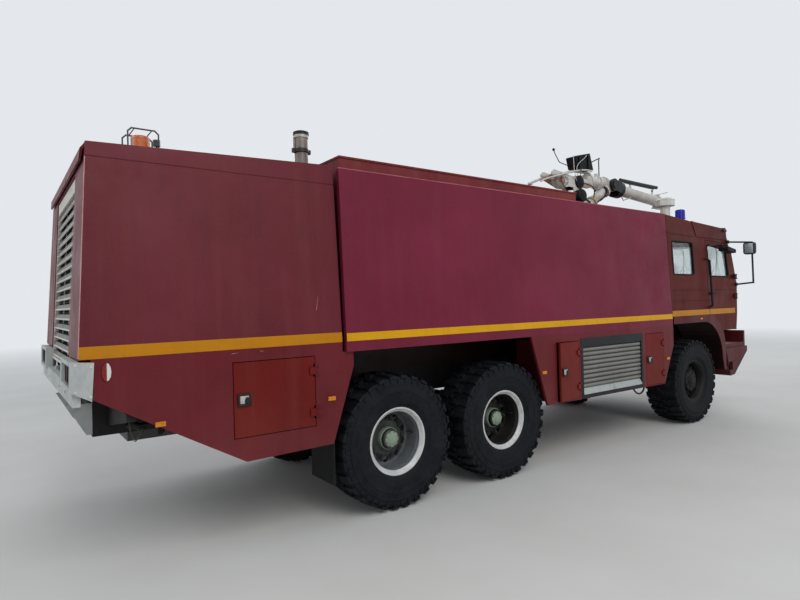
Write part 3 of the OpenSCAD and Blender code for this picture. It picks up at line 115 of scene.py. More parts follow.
class Finish:  # one node material, built step by step; a colour is given by its code
    def __init__(self, name, rough=0.5, metal=0.0, shine=0.5, **sockets):
        self.material = bpy.data.materials.new(name)
        self.material.use_nodes = True
        self.tree = self.material.node_tree
        self.shader = self.tree.nodes["Principled BSDF"]
        for key, value in {"Roughness": rough, "Metallic": metal, "Specular IOR Level": shine, **sockets}.items():
            self.shader.inputs[key.replace("_", " ")].default_value = value
        self.place = self.add("ShaderNodeTexCoord").outputs["Object"]
        self.x, self.y, self.z = self.add("ShaderNodeSeparateXYZ", Vector=self.place).outputs

    def add(self, kind, **inputs):
        node = self.tree.nodes.new(kind)
        for key, value in inputs.items():
            self.feed(node.inputs[key.replace("_", " ")], value)
        return node

    def feed(self, socket, value):
        if isinstance(value, bpy.types.NodeSocket):
            self.tree.links.new(value, socket)
        else:
            socket.default_value = tint(value) if isinstance(value, str) else value

    def maths(self, job, *values):
        node = self.tree.nodes.new("ShaderNodeMath")
        node.operation = job
        for socket, value in zip(node.inputs, values):
            self.feed(socket, value)
        return node.outputs[0]

    def times(self, a, b):
        return self.maths("MULTIPLY", a, b)

    def plus(self, a, b):
        return self.maths("ADD", a, b)

    def less(self, a, b):
        return self.maths("SUBTRACT", a, b)

    def reach(self, a, b):  # distance from the origin of two parts
        return self.maths("SQRT", self.plus(self.times(a, a), self.times(b, b)))

    def noise(self, scale, detail=4.0, stretch=(1, 1, 1), rough=0.55, shift=0.0):
        spread = self.add("ShaderNodeMapping", Vector=self.place, Scale=stretch,
                          Location=(shift, shift * 0.7, shift * 1.3))
        return self.add("ShaderNodeTexNoise", Vector=spread.outputs[0], Scale=scale, Detail=detail,
                        Roughness=rough).outputs["Fac"]

    def span(self, value, low, high, start=0.0, end=1.0):
        node = self.add("ShaderNodeMapRange", Value=value, From_Min=low, From_Max=high, To_Min=start, To_Max=end)
        return node.outputs["Result"]

    def cloud(self, low, high, *grain, start=0.0, end=1.0, **look):  # noise between two levels
        return self.span(self.noise(*grain, **look), low, high, start, end)

    def between(self, value, low, high, soft=0.001):  # 1 inside a band, 0 outside
        return self.times(self.span(value, low, low + soft), self.span(value, high - soft, high, 1.0, 0.0))

    def mix(self, first, second, share):
        node = self.tree.nodes.new("ShaderNodeMix")
        node.data_type = "RGBA"
        for i, value in ((0, share), (6, first), (7, second)):
            self.feed(node.inputs[i], value)
        return node.outputs[2]

    def colour(self, value):
        self.feed(self.shader.inputs["Base Color"], value)
        return self

    def over(self, second, share):  # one more colour over those laid so far
        return self.colour(self.mix(self.shader.inputs["Base Color"].links[0].from_socket, second, share))

    def rough(self, value):
        self.feed(self.shader.inputs["Roughness"], value)
        return self

    def bump(self, height, depth=0.001, strength=0.4):
        node = self.add("ShaderNodeBump", Height=height, Strength=strength, Distance=depth)
        self.feed(self.shader.inputs["Normal"], node.outputs[0])
        return self


worn = {"gloss": 0.42, "chips": 0.5, "grimeFoot": 0.45, "shadeBelow": "#120c0d", "runs": "#2e1517", "primer": "#3b2a27"}


def wornPaint(name, base, faded, dusty="#7c4742", streak=0.35, dustTop=1.3, wave=1.0, under=0.0, inside=0.0,
              shine=0.2):
    gloss = worn["gloss"]
    f = Finish(name, rough=gloss, shine=shine)
    runs = f.cloud(0.48, 0.72, 9, 4, (1, 1, 0.06))
    dark = f.cloud(0.52, 0.75, 14, 4, (1, 1, 0.05), shift=4.0)
    cloudy = f.cloud(0.3, 0.75, 3.5, 6, rough=0.65, shift=2.0)
    grime = f.times(f.span(f.z, worn["grimeFoot"], dustTop, 1.0, 0.0), cloudy)
    fine = f.noise(60, 4, rough=0.7)
    f.colour(f.mix(base, faded, f.cloud(0.35, 0.68, 1.1, 5, rough=0.6)))
    f.over(dusty, f.times(runs, streak * 0.5))
    f.over(worn["runs"], f.times(dark, streak * 0.45))
    f.over(dusty, f.times(grime, 0.75))
    f.over(dusty, f.span(fine, 0.55, 0.8, 0.0, 0.25))
    f.over(worn["primer"], f.times(f.cloud(0.735, 0.755, 38, 3, shift=9.0), worn["chips"]))
    if under:  # painted shade, near black, on whatever lies below this height
        f.over(worn["shadeBelow"], f.span(f.z, under - 0.03, under, 0.93, 0.0))
    if inside:  # painted shade, near black, on the inner sides of the mudguards
        f.over("#0f0b0b", f.span(f.maths("ABSOLUTE", f.y), inside - 0.004, inside, 0.9, 0.0))
    f.rough(f.plus(f.span(cloudy, 0, 1, gloss - 0.06, gloss + 0.16), f.times(runs, 0.12)))
    ripple = f.plus(f.times(f.noise(1.7, 2, shift=3.0), wave * 3.0), f.times(fine, 0.06))
    return f.bump(ripple, 0.004, 0.22)


def plainCoat(name, base, second, rough=0.5, metal=0.0, dirt="#4a4038", amount=0.4, scale=12.0, **sockets):
    f = Finish(name, rough=rough, metal=metal, **sockets)
    cloud = f.cloud(0.35, 0.7, scale * 0.35, 5, rough=0.62)
    stain = f.cloud(0.5, 0.78, scale, 6, (1, 1, 0.4), rough=0.7, shift=5.0)
    speck = f.noise(scale * 14, 3, rough=0.7)
    f.colour(f.mix(base, second, cloud))
    f.over(dirt, f.times(stain, amount))
    f.over(dirt, f.span(speck, 0.6, 0.85, 0.0, amount * 0.6))
    f.rough(f.plus(f.span(cloud, 0, 1, rough - 0.07, rough + 0.08), f.times(stain, 0.15)))
    return f.bump(f.plus(f.times(cloud, 0.3), f.times(speck, 0.12)), 0.002, 0.3)


def dress(node, finish):
    slots = frame["nodes"][node].data.materials
    if not len(slots):
        slots.append(finish.material)
    for i in range(len(slots)):
        slots[i] = finish.material


print("material helpers ready")

# Paints and other finishes of the truck's own nodes

housingPaint = wornPaint("housingPaint", "#5d1b24", "#6a242e", streak=0.3)
tankPaint = wornPaint("tankPaint", "#69162c", "#761f38", "#884850", streak=0.2, wave=0.7)
# under=1.44 paints the tank body near black below 1.44 m: painted shade in the gap behind the side panels
deckPaint = wornPaint("deckPaint", "#6a2027", "#80332f", "#8d5a52", streak=0.35, under=1.44)
cabPaint = wornPaint("cabPaint", "#4f1410", "#5d1b16", "#66302a", streak=0.3, shine=0.12)
skirtPaint = wornPaint("skirtPaint", "#60161e", "#6e2027", "#6d3836", streak=0.4, dustTop=1.5)
doorPaint = wornPaint("doorPaint", "#671714", "#74221b", "#703930", streak=0.5, dustTop=1.2, shine=0.12)
guardPaint = wornPaint("guardPaint", "#4d1217", "#591a20", "#523331", streak=0.5, dustTop=1.3)
# inside=1.196 paints the mudguards' inner sides near black as shade
archPaint = wornPaint("archPaint", "#4d1217", "#591a20", "#523331", streak=0.5, dustTop=1.3, inside=1.196)
creamPaint = plainCoat("creamPaint", "#b9bcb8", "#a3a9aa", 0.5, dirt="#6e6459", amount=0.5)
slatPaint = plainCoat("slatPaint", "#c9c5b8", "#b4b0a4", 0.5, dirt="#6b6156", amount=0.55, scale=16)
whitePaint = plainCoat("whitePaint", "#d6d4cc", "#c4c2ba", 0.42, dirt="#6a5e52", amount=0.5, scale=18)
frameBlack = plainCoat("frameBlack", "#121214", "#1e1c1c", 0.6, dirt="#4a3f37", amount=0.5, scale=8, shine=0.25)
castGrey = plainCoat("castGrey", "#3c3d3f", "#4b4843", 0.6, metal=0.3, dirt="#6a5848", amount=0.6, scale=9)
trimBlack = plainCoat("trimBlack", "#111214", "#1c1d20", 0.48, dirt="#4a423b", amount=0.3, scale=16, shine=0.3)
rubberBlack = plainCoat("rubberBlack", "#101113", "#1a1a1c", 0.72, dirt="#4d463f", amount=0.45, scale=10, shine=0.2)
rimDark = plainCoat("rimDark", "#19191b", "#272422", 0.5, dirt="#3a312a", amount=0.5, scale=18, shine=0.15)
boltSteel = plainCoat("boltSteel", "#8d8c88", "#6f6b66", 0.4, metal=0.8, dirt="#4a3426", amount=0.5, scale=40)
clothBlue = plainCoat("clothBlue", "#2b3038", "#363b44", 0.9, dirt="#55504a", amount=0.3, scale=30)
driveBlack = plainCoat("driveBlack", "#06070a", "#0b0c10", 0.45, dirt="#2b2723", amount=0.25, scale=16, shine=0.15)

lensLook = {"dirt": "#1b0d0a", "ribs": 900.0, "alpha": 0.6, "veil": "#c9d2d0"}


def lensFinish(name, base):
    f = Finish(name, rough=0.12, Coat_Weight=0.2, shine=0.3)
    f.colour(f.mix(base, lensLook["dirt"], f.cloud(0.55, 0.85, 45, 4, end=0.35)))
    return f.bump(f.maths("SINE", f.times(f.z, lensLook["ribs"])), 0.0006, 0.5)


def glassFinish(name, base, rough=0.01):
    f = Finish(name, rough=rough, Transmission_Weight=1.0, IOR=1.3, Alpha=lensLook["alpha"])
    f.colour(f.mix(base, lensLook["veil"], f.cloud(0.4, 0.7, 2, 1, end=0.5)))
    return f.rough(f.cloud(0.35, 0.7, 2, 1, shift=2.0, start=rough, end=0.03))


amberLens = lensFinish("amberLens", "#e88a06")
blueLens = lensFinish("blueLens", "#0a1aa6")
cabGlass = glassFinish("cabGlass", "#dfe9e8")

dressing = {
    housingPaint: "engine_housing",
    tankPaint: "side_panels",
    deckPaint: "tank_body",
    cabPaint: "cab_shell cab_door_left cab_door_right",
    skirtPaint: "rear_skirts mid_skirts",
    doorPaint: "rear_hatch_left rear_hatch_right locker_a_left locker_a_right locker_b_left locker_b_right",
    guardPaint: "front_bumper",
    archPaint: "mudguards",
    creamPaint: "rear_bumper",
    whitePaint: "roof_vent monitor_base",
    frameBlack: "frame_rails cross_members prop_shafts front_axle rear_axles springs air_tanks "
                "knuckle_left knuckle_right",
    castGrey: "engine_block transfer_case",
    trimBlack: "cab_floor dashboard mirrors",
    driveBlack: "monitor_drives",
    rubberBlack: "mudflaps " + " ".join("tyre_" + tag for tag, _, _ in wheels),
    clothBlue: "seats",
    blueLens: "blue_beacons",
    cabGlass: "cab_glass door_glass_left door_glass_right",
    rimDark: "rim_front_left rim_front_right",
}
for finish, names in dressing.items():
    for name in names.split():
        dress(name, finish)
print("truck nodes dressed")

# Floor, backdrop and light

studio = {
    "floorSize": 60,
    "floor": ("#dad8d4", "#d2d0cb"),
    "haze": "#e4e8ec",
    "hazeStart": 9.0,
    "hazeEnd": 30.0,
    "sky": "#e3ebf4",
    "skyStrength": 0.6,
    "lights": [  # name, place, what it points at, watts, size
        ("keyLight", (-3.0, -12.0, 11.0), (0, 0, 1.5), 900, 9.0),
        ("rearLight", (-14.0, 3.0, 8.0), (-3.0, 0, 1.5), 320, 8.0),
        ("frontLight", (12.0, 5.0, 9.0), (2.0, 0, 2.0), 320, 8.0),
    ],
}


def seenRay(tree):  # 1 for whatever the camera sees, straight, through glass or in a reflection
    path = tree.nodes.new("ShaderNodeLightPath")
    seen = path.outputs["Is Camera Ray"]
    for kind in ("Is Glossy Ray", "Is Transmission Ray"):
        node = tree.nodes.new("ShaderNodeMath")
        node.operation = "MAXIMUM"
        tree.links.new(seen, node.inputs[0])
        tree.links.new(path.outputs[kind], node.inputs[1])
        seen = node.outputs[0]
    return seen


def blendShaders(tree, share, first, second, target):
    blend = tree.nodes.new("ShaderNodeMixShader")
    for socket, source in zip(blend.inputs, (share, first.outputs[0], second.outputs[0])):
        tree.links.new(source, socket)
    tree.links.new(blend.outputs[0], target.inputs[0])


def makeFloor(spec):
    bm = bmesh.new()
    bmesh.ops.create_grid(bm, x_segments=1, y_segments=1, size=spec["floorSize"])
    mesh = bpy.data.meshes.new("floor")
    bm.to_mesh(mesh)
    floor = addObject("floor", mesh)
    f = Finish("floorFinish", rough=0.85)
    f.colour(f.mix(*spec["floor"], f.cloud(0.3, 0.7, 0.8, 4)))
    # far off, the floor shows the backdrop's own colour, so no horizon is drawn
    away = f.span(f.reach(f.x, f.y), spec["hazeStart"], spec["hazeEnd"])
    glow = f.add("ShaderNodeEmission", Color=spec["haze"])
    blendShaders(f.tree, f.times(away, seenRay(f.tree)), f.shader, glow, f.tree.nodes["Material Output"])
    mesh.materials.append(f.material)


def makeSky(spec):
    world = bpy.data.worlds.new("studioSky")
    bpy.context.scene.world = world
    world.use_nodes = True
    tree = world.node_tree
    tree.nodes.clear()
    grounds = []
    for code, strength in ((spec["sky"], spec["skyStrength"]), (spec["haze"], 1.0)):
        ground = tree.nodes.new("ShaderNodeBackground")
        ground.inputs["Color"].default_value = tint(code)
        ground.inputs["Strength"].default_value = strength
        grounds.append(ground)
    blendShaders(tree, seenRay(tree), *grounds, tree.nodes.new("ShaderNodeOutputWorld"))


def makeLights(spec):
    for name, place, aim, watts, size in spec["lights"]:
        lamp = bpy.data.lights.new(name, "AREA")
        lamp.energy = watts
        lamp.size = size
        thing = addObject(name, lamp)
        thing.location = place
        thing.rotation_euler = (Vector(aim) - Vector(place)).to_track_quat("-Z", "Y").to_euler()


makeFloor(studio)
makeSky(studio)
makeLights(studio)
bpy.context.scene.view_settings.view_transform = "Standard"
print("studio ready")

# Mesh helpers


def newPiece(name, bm, finish, body="chassis", smoothAngle=35):
    bmesh.ops.remove_doubles(bm, verts=bm.verts, dist=0.00002)
    bmesh.ops.recalc_face_normals(bm, faces=bm.faces)
    mesh = bpy.data.meshes.new(name)
    bm.to_mesh(mesh)
    bm.free()
    mesh.materials.append(finish.material)
    if smoothAngle:
        for face in mesh.polygons:
            face.use_smooth = True
        mesh.set_sharp_from_angle(angle=math.radians(smoothAngle))
    thing = addObject(name, mesh)
    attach(thing, body)
    return thing


def softenEdges(bm, edges, offset, segments=2):
    return bmesh.ops.bevel(bm, geom=edges, offset=offset, offset_type="OFFSET", segments=segments, profile=0.5,
                           affect="EDGES", material=-1, clamp_overlap=True)["verts"]


def addBlock(bm, low, high, edge=0.0, segments=2):
    low, high = Vector(low), Vector(high)
    place = Matrix.Translation((low + high) / 2) @ Matrix.Diagonal((*(high - low), 1))
    verts = bmesh.ops.create_cube(bm, size=1, matrix=place)["verts"]
    return softenEdges(bm, list({e for v in verts for e in v.link_edges}), edge, segments) if edge else verts


def addRod(bm, start, end, radius, radiusEnd=None, sides=16, edge=0.0):
    start, end = Vector(start), Vector(end)
    line = end - start
    place = Matrix.Translation((start + end) / 2) @ line.to_track_quat("Z", "Y").to_matrix().to_4x4()
    made = bmesh.ops.create_cone(bm, cap_ends=True, segments=sides, radius1=radius,
                                 radius2=radius if radiusEnd is None else radiusEnd, depth=line.length,
                                 matrix=place)["verts"]
    if edge:
        near = {e for v in made for e in v.link_edges}
        softenEdges(bm, [e for e in near if len(e.link_faces) == 2 and e.calc_face_angle(0) > 1.0], edge)


def addTurned(bm, profile, place, axis=(0, 0, 1), steps=32):  # profile: (radius, along the axis) pairs
    fit = Matrix.Translation(place) @ Vector(axis).to_track_quat("Z", "Y").to_matrix().to_4x4()
    verts = [bm.verts.new((r, 0, h)) for r, h in profile]
    edges = [bm.edges.new(pair) for pair in zip(verts, verts[1:])]
    bmesh.ops.spin(bm, geom=verts + edges, cent=(0, 0, 0), axis=(0, 0, 1), angle=math.tau, steps=steps,
                   use_merge=True)
    joined = set(verts)
    while verts:  # everything that hangs together with the profile
        for v in {v for e in verts.pop().link_edges for v in e.verts} - joined:
            joined.add(v)
            verts.append(v)
    bmesh.ops.transform(bm, matrix=fit, verts=list(joined))


def addHexNut(bm, place, axis, size, height, stud=0.0, studLength=0.0):
    axis = Vector(axis).normalized()
    place = Vector(place)
    addRod(bm, place, place + axis * height, size / 2, sides=6)
    if stud:
        addRod(bm, place + axis * height * 0.9, place + axis * studLength, stud / 2, sides=8)


# a closed bead with corners, or an open cord smoothed along its points
def addTube(name, points, radius, finish, body, cord=False):
    curve = bpy.data.curves.new(name, "CURVE")
    curve.dimensions = "3D"
    curve.bevel_depth = radius
    curve.bevel_resolution = 5 if cord else 3
    curve.use_fill_caps = cord
    curve.resolution_u = 6
    line = curve.splines.new("NURBS" if cord else "POLY")
    line.points.add(len(points) - 1)
    for spot, p in zip(line.points, points):
        spot.co = (*p, 1)
    line.use_cyclic_u = not cord
    if cord:
        line.order_u = 3
        line.use_endpoint_u = True
    curve.materials.append(finish.material)
    thing = addObject(name, curve)
    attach(thing, body)
    return thing


def bothSides(bm):  # the same again, mirrored to the other side of the truck
    bmesh.ops.mirror(bm, geom=bm.verts[:] + bm.edges[:] + bm.faces[:], matrix=Matrix(), merge_dist=-1.0, axis="Y")
    bmesh.ops.recalc_face_normals(bm, faces=bm.faces)


# Tyres

tyre = {"radius": 0.585, "rimRadius": 0.285, "lugs": 30, "lugDepth": 0.024, "ticks": 44, "steps": 90}


def treadFinish():
    f = Finish("treadRubber", rough=0.78, shine=0.15)
    dust = f.cloud(0.42, 0.72, 7, 6, rough=0.65)
    fine = f.noise(160, 3, rough=0.7)
    f.colour(f.mix("#0b0c10", "#15171c", f.cloud(0.35, 0.7, 30, 4)))
    f.over("#37393c", f.times(dust, 0.35))
    f.over("#4a4a4b", f.span(fine, 0.6, 0.8, 0.0, 0.25))
    f.rough(f.span(dust, 0, 1, 0.6, 0.88))
    return f.bump(f.plus(fine, f.times(f.noise(40, 3), 0.6)), 0.0015, 0.35)


def addLug(bm, plan, foot, top, w, narrow, inward, swing):  # plan: corners as (around, across)
    ring = [bm.verts.new((foot, around, across)) for around, across in plan]
    made = bmesh.ops.extrude_face_region(bm, geom=[bm.faces.new(ring)])["geom"]
    outer = [v for v in made if isinstance(v, bmesh.types.BMVert)]
    for v in outer:
        v.co.x = top - 0.01 * max(0, (abs(v.co.z) - w * 0.62) / (w * 0.38)) ** 2
        v.co.y *= narrow
        v.co.z *= inward
    bmesh.ops.transform(bm, matrix=swing, verts=ring + outer)


def makeTyre(name, centre, w, body, finish):
    t = tyre
    bm = bmesh.new()
    r, a = t["radius"], t["rimRadius"]
    base = r - t["lugDepth"]
    side = [(a - 0.004, w - 0.06), (a + 0.004, w - 0.036), (a + 0.02, w - 0.026), (a + 0.034, w - 0.02),
            (a + 0.04, w - 0.014), (a + 0.052, w - 0.012), (a + 0.056, w - 0.006), (a + 0.09, w - 0.003),
            (a + 0.14, w), (a + 0.144, w + 0.003), (a + 0.152, w + 0.003), (a + 0.156, w - 0.001),
            (a + 0.2, w - 0.004), (a + 0.204, w - 0.001), (a + 0.212, w - 0.002), (a + 0.216, w - 0.008),
            (base - 0.02, w - 0.012), (base - 0.004, w - 0.026), (base, w - 0.045)]
    addTurned(bm, side + [(base, 0)] + [(p[0], -p[1]) for p in reversed(side)], (0, 0, 0), steps=t["steps"])
    shoulder = [(-0.036, w - 0.004), (0.034, w - 0.004), (0.026, w * 0.6), (0.044, w * 0.34), (-0.01, w * 0.3),
                (-0.034, w * 0.58)]
    middle = [(-0.024, 0.05), (0.024, 0.056), (0.04, 0.008), (-0.008, 0.0)]
    for i in range(t["lugs"]):
        for s, offset in ((1, 0.0), (-1, 0.5)):
            swing = Matrix.Rotation((i + offset) * math.tau / t["lugs"], 4, "Z")
            for plan, drop, narrow, inward in ((shoulder, 0.004, 0.93, 0.985), (middle, 0.002, 0.94, 1.0)):
                addLug(bm, [(p[0], s * p[1]) for p in plan], base - 0.012, r - drop, w, narrow, inward, swing)
    for i in range(t["ticks"]):  # moulded ticks near the shoulder
        swing = Matrix.Rotation(i * math.tau / t["ticks"], 4, "Z")
        for y in (w - 0.008, 0.008 - w):
            made = addBlock(bm, (base - 0.052, -0.01, y - 0.006), (base - 0.016, 0.01, y + 0.006))
            bmesh.ops.transform(bm, matrix=swing, verts=made)
    turn = Matrix.Translation(centre) @ Matrix.Rotation(math.radians(90), 4, "X")
    bmesh.ops.transform(bm, matrix=turn, verts=bm.verts)
    return newPiece(name, bm, finish, body, smoothAngle=30)


treadRubber = treadFinish()
for tag, _, _ in wheels:
    node = "tyre_" + tag
    centre, half = boxOf(node)
    piece = makeTyre("tread_" + tag, centre, half.y, bodyOf(node), treadRubber)
    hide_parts(node)
print("tyres with their tread")

# Stripes along the sides

stripes = [  # x from, x to, z low, z high, wall, body of the right and left one
    ("tank", -2.69, 2.333, 1.486, 1.551, "tank", "chassis", "chassis"),
    ("housing", -4.5625, -2.7185, 1.482, 1.56, "housing", "chassis", "chassis"),
    ("cab", 2.404, 3.44, 1.512, 1.588, "cab", "chassis", "chassis"),
    ("door", 3.4535, 4.252, 1.512, 1.588, "cab", "cab_door_right", "cab_door_left"),
]
stripeFilm = {"gap": 0.0002, "thick": 0.0009, "cuts": 24}


def stripeFinish(name, bright, dull):
    f = Finish(name, rough=0.42, shine=0.2)
    worn = f.cloud(0.42, 0.72, 2.2, 6, (1, 1, 3), rough=0.65)
    cracks = f.cloud(0.66, 0.76, 40, 5, (1, 1, 0.35), rough=0.7)
    f.colour(f.mix(bright, dull, worn))
    f.over("#7a4a22", f.times(cracks, 0.4))
    f.over("#8a6a2c", f.times(f.cloud(0.52, 0.8, 16, 4, (1, 1, 0.08), shift=3.0), 0.2))
    f.rough(f.span(worn, 0, 1, 0.36, 0.55))
    return f.bump(cracks, 0.0006, 0.3)


def makeStripe(name, x0, x1, low, high, wall, side, finish, body):
    bm = bmesh.new()
    fold = min(max(walls["foot"], low + 0.001), high - 0.001)
    row = [bm.verts.new((x0, side * (wallY(z, wall) + stripeFilm["gap"]), z)) for z in (low, fold, high)]
    start = [bm.edges.new(pair) for pair in zip(row, row[1:])]
    made = bmesh.ops.extrude_edge_only(bm, edges=start)["geom"]
    bmesh.ops.translate(bm, vec=(x1 - x0, 0, 0), verts=[v for v in made if isinstance(v, bmesh.types.BMVert)])
    bmesh.ops.recalc_face_normals(bm, faces=bm.faces)
    if sum(f.normal.y for f in bm.faces) * side < 0:
        bmesh.ops.reverse_faces(bm, faces=bm.faces)
    bmesh.ops.solidify(bm, geom=bm.faces[:], thickness=-stripeFilm["thick"])
    long = [e for e in bm.edges if abs(e.verts[0].co.x - e.verts[1].co.x) > 0.1]
    bmesh.ops.subdivide_edges(bm, edges=long, cuts=stripeFilm["cuts"], use_grid_fill=True)
    return newPiece(name, bm, finish, body, smoothAngle=0)


stripeBright = stripeFinish("stripeBright", "#dba002", "#cf9604")
stripeDull = stripeFinish("stripeDull", "#bf7c00", "#b27304")
for name, x0, x1, low, high, wall, right, left in stripes:
    for side, sign, body in (("right", -1, right), ("left", 1, left)):
        film = stripeBright if name == "tank" else stripeDull
        makeStripe("stripe_" + name + "_" + side, x0, x1, low, high, wall, sign, film, body)
print("stripes laid")

# Latches of the locker doors

latch = {
    "middle": 0.073, "ajar": 7.0, "proud": 0.016,  # behind the door's rear edge, in degrees, out of the door
    "rim": [(-0.05, -0.045, -0.037, 0.045), (0.037, -0.045, 0.05, 0.045), (-0.04, 0.032, 0.04, 0.045),
            (-0.04, -0.045, 0.04, -0.032)],  # x, z, x, z of the surround's bars
}
doorRows = {  # hinge x, outer face y, rear edge x, middle z
    "rear_hatch": (-2.967, 1.206, -3.61, 1.1175),
    "locker_a": (0.303, 1.234, -0.083, 0.995),
    "locker_b": (2.078, 1.234, 1.667, 0.99),
}


def makeLatch(node, row, side):
    hingeX, face, rear, z = row
    x, p = rear + latch["middle"], latch["proud"]
    black, silver = bmesh.new(), bmesh.new()
    for a, b, c, d in latch["rim"]:
        addBlock(black, (x + a, -p, z + b), (x + c, 0.0, z + d), 0.004)
    addBlock(black, (x - 0.002, -p - 0.01, z - 0.028), (x + 0.034, -0.005, z + 0.006), 0.005)
    addRod(black, (x + 0.017, -0.01, z + 0.01), (x + 0.017, -p - 0.014, z + 0.01), 0.01, sides=20, edge=0.002)
    addBlock(silver, (x - 0.035, -p - 0.004, z - 0.026), (x + 0.004, -0.008, z + 0.03), 0.006, 3)
    addBlock(silver, (x - 0.035, -p - 0.002, z + 0.008), (x + 0.03, -0.01, z + 0.03), 0.004)
    addRod(silver, (x - 0.016, -p - 0.002, z - 0.004), (x - 0.016, -p - 0.007, z - 0.004), 0.007, sides=16,
           edge=0.001)
    for bm, tag, finish in ((black, "surround", trimBlack), (silver, "paddle", paddleSteel)):
        bmesh.ops.translate(bm, vec=(0, -face, 0), verts=bm.verts)
        if node == "locker_a_right":  # the door that stands ajar
            hinge = Vector((hingeX, -(face + 0.003), 0))
            swing = Matrix.Rotation(math.radians(latch["ajar"]), 4, "Z")
            bmesh.ops.transform(bm, matrix=Matrix.Translation(hinge) @ swing @ Matrix.Translation(-hinge),
                                verts=bm.verts)
        if side == "left":
            bmesh.ops.scale(bm, vec=(1, -1, 1), verts=bm.verts)
        newPiece("latch_" + tag + "_" + node, bm, finish, bodyOf(node))


paddleSteel = plainCoat("paddleSteel", "#c9c8c3", "#a9a7a1", 0.35, metal=0.4, dirt="#5a5048", amount=0.4, scale=60)
for name, row in doorRows.items():
    for side in ("right", "left"):
        makeLatch(name + "_" + side, row, side)
print("latches fitted")

# Window rubbers, each a bead along the edge of its opening

windows = {
    "rear": ([(2.51, 2.085), (3.07, 2.085), (3.07, 2.544), (2.51, 2.544)], "chassis", "chassis"),
    "door": ([(3.52, 2.07), (4.12, 2.07), (4.085, 2.43), (4.05, 2.478), (3.49, 2.54)],
             "cab_door_right", "cab_door_left"),
}
rubber = {"corner": 0.045, "longest": 0.04, "steps": 5,
          "beads": (("rubber_", 0.002, 0.011), ("rubberInner_", 0.016, 0.008))}  # depth in the wall, radius


def roundedLoop(points):
    loop = []
    for i, p in enumerate(points):
        here = Vector(p)
        back = (Vector(points[i - 1]) - here).normalized()
        ahead = (Vector(points[(i + 1) % len(points)]) - here).normalized()
        reach = min(rubber["corner"] / math.tan(back.angle(ahead) / 2), rubber["longest"])
        a, b = here + back * reach, here + ahead * reach
        for t in (k / rubber["steps"] for k in range(rubber["steps"] + 1)):
            loop.append((1 - t) ** 2 * a + 2 * t * (1 - t) * here + t * t * b)
    return loop


for name, (outline, right, left) in windows.items():
    loop = roundedLoop(outline)
    for side, sign, body in (("right", -1, right), ("left", 1, left)):
        for label, depth, radius in rubber["beads"]:
            points = [(p.x, sign * (wallY(p.y, "cab") - depth), p.y) for p in loop]
            addTube(label + name + "_" + side, points, radius, rubberBlack, body)
print("window rubbers fitted")

# Seats: a crowned base, a back and a head rest for each place

seat = {
    "places": (-0.64, 0.0, 0.64), "threads": 1500.0, "bands": 75.0,
    "cushions": [  # name, x, z, size, tilt, crown, channels
        ("seatBase_", 3.125, 1.712, (0.53, 0.47, 0.125), -2, 0.22, 2),
        ("seatBack_", 2.868, 1.985, (0.52, 0.47, 0.1), -82, 0.25, 2),
        ("headRest_", 2.826, 2.335, (0.19, 0.25, 0.07), -80, 0.22, 0),
    ],
    "stand": [  # x from, x to, half width, z low, z high, edge
        (2.92, 3.33, 0.17, 1.441, 1.475, 0.006),
        (2.98, 3.26, 0.13, 1.47, 1.6, 0.012),
        (2.88, 3.36, 0.2, 1.598, 1.646, 0.01),
    ],
}


def clothFinish():
    f = Finish("seatCloth", rough=0.92, Sheen_Weight=0.3)
    weave = f.times(*(f.maths("SINE", f.times(way, seat["threads"])) for way in (f.y, f.x)))
    band = f.span(f.maths("SINE", f.times(f.y, seat["bands"])), 0.4, 0.6)
    f.colour(f.mix("#2a2f38", "#3a4552", f.times(band, 0.6)))
    f.over("#5b5650", f.cloud(0.5, 0.8, 9, 5, end=0.4))
    f.over("#14171b", f.span(weave, -1, 1, 0.0, 0.3))
    f.rough(f.cloud(0.3, 0.7, 12, 4, start=0.85, end=0.97))
    return f.bump(weave, 0.0006, 0.4)


def makeCushion(name, centre, size, tilt, crown, channels, finish):
    bm = bmesh.new()
    bmesh.ops.create_cube(bm, size=1)
    bmesh.ops.subdivide_edges(bm, edges=bm.edges[:], cuts=7, use_grid_fill=True)
    for v in bm.verts:
        across, along = v.co.y * 2, v.co.x * 2
        swell = (1 - abs(across) ** 3) * (1 - abs(along) ** 3)
        if v.co.z > 0.45:
            v.co.z += crown * swell
            for k in range(channels):
                spot = (k + 1) * 2 / (channels + 1) - 1
                v.co.z -= 0.09 * math.exp(-((across - spot) / 0.12) ** 2)
        height = abs(v.co.z * 2)
        v.co.x *= 1 - 0.05 * height ** 4 * (1 - 0.5 * abs(across))
        v.co.y *= 1 - 0.05 * height ** 4 * (1 + 0.06 * (1 - height))
    bmesh.ops.smooth_vert(bm, verts=bm.verts, factor=0.5, use_axis_x=True, use_axis_y=True, use_axis_z=True)
    fit = Matrix.Translation(centre) @ Matrix.Rotation(math.radians(tilt), 4, "Y") @ Matrix.Diagonal((*size, 1))
    bmesh.ops.transform(bm, matrix=fit, verts=bm.verts)
    piece = newPiece(name, bm, finish, smoothAngle=80)
    soft = piece.modifiers.new("soft", "SUBSURF")
    soft.levels = soft.render_levels = 1


seatCloth = clothFinish()
frameBm = bmesh.new()
for number, y in enumerate(seat["places"]):
    for name, x, z, size, tilt, crown, channels in seat["cushions"]:
        makeCushion(name + str(number + 1), (x, y, z), size, tilt, crown, channels, seatCloth)
    for x0, x1, half, z0, z1, edge in seat["stand"]:
        addBlock(frameBm, (x0, y - half, z0), (x1, y + half, z1), edge)
    for s in (-1, 1):
        addRod(frameBm, (2.842, y + s * 0.06, 2.2), (2.828, y + s * 0.06, 2.3), 0.007, sides=10)
        addBlock(frameBm, (2.86, y + s * 0.215 - 0.012, 1.6), (2.93, y + s * 0.215 + 0.012, 1.86), 0.006)
seatFrames = newPiece("seatFrames", frameBm, trimBlack)
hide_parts("seats")
print("seats made")

# Wheel details: nuts, hub bolts and valves

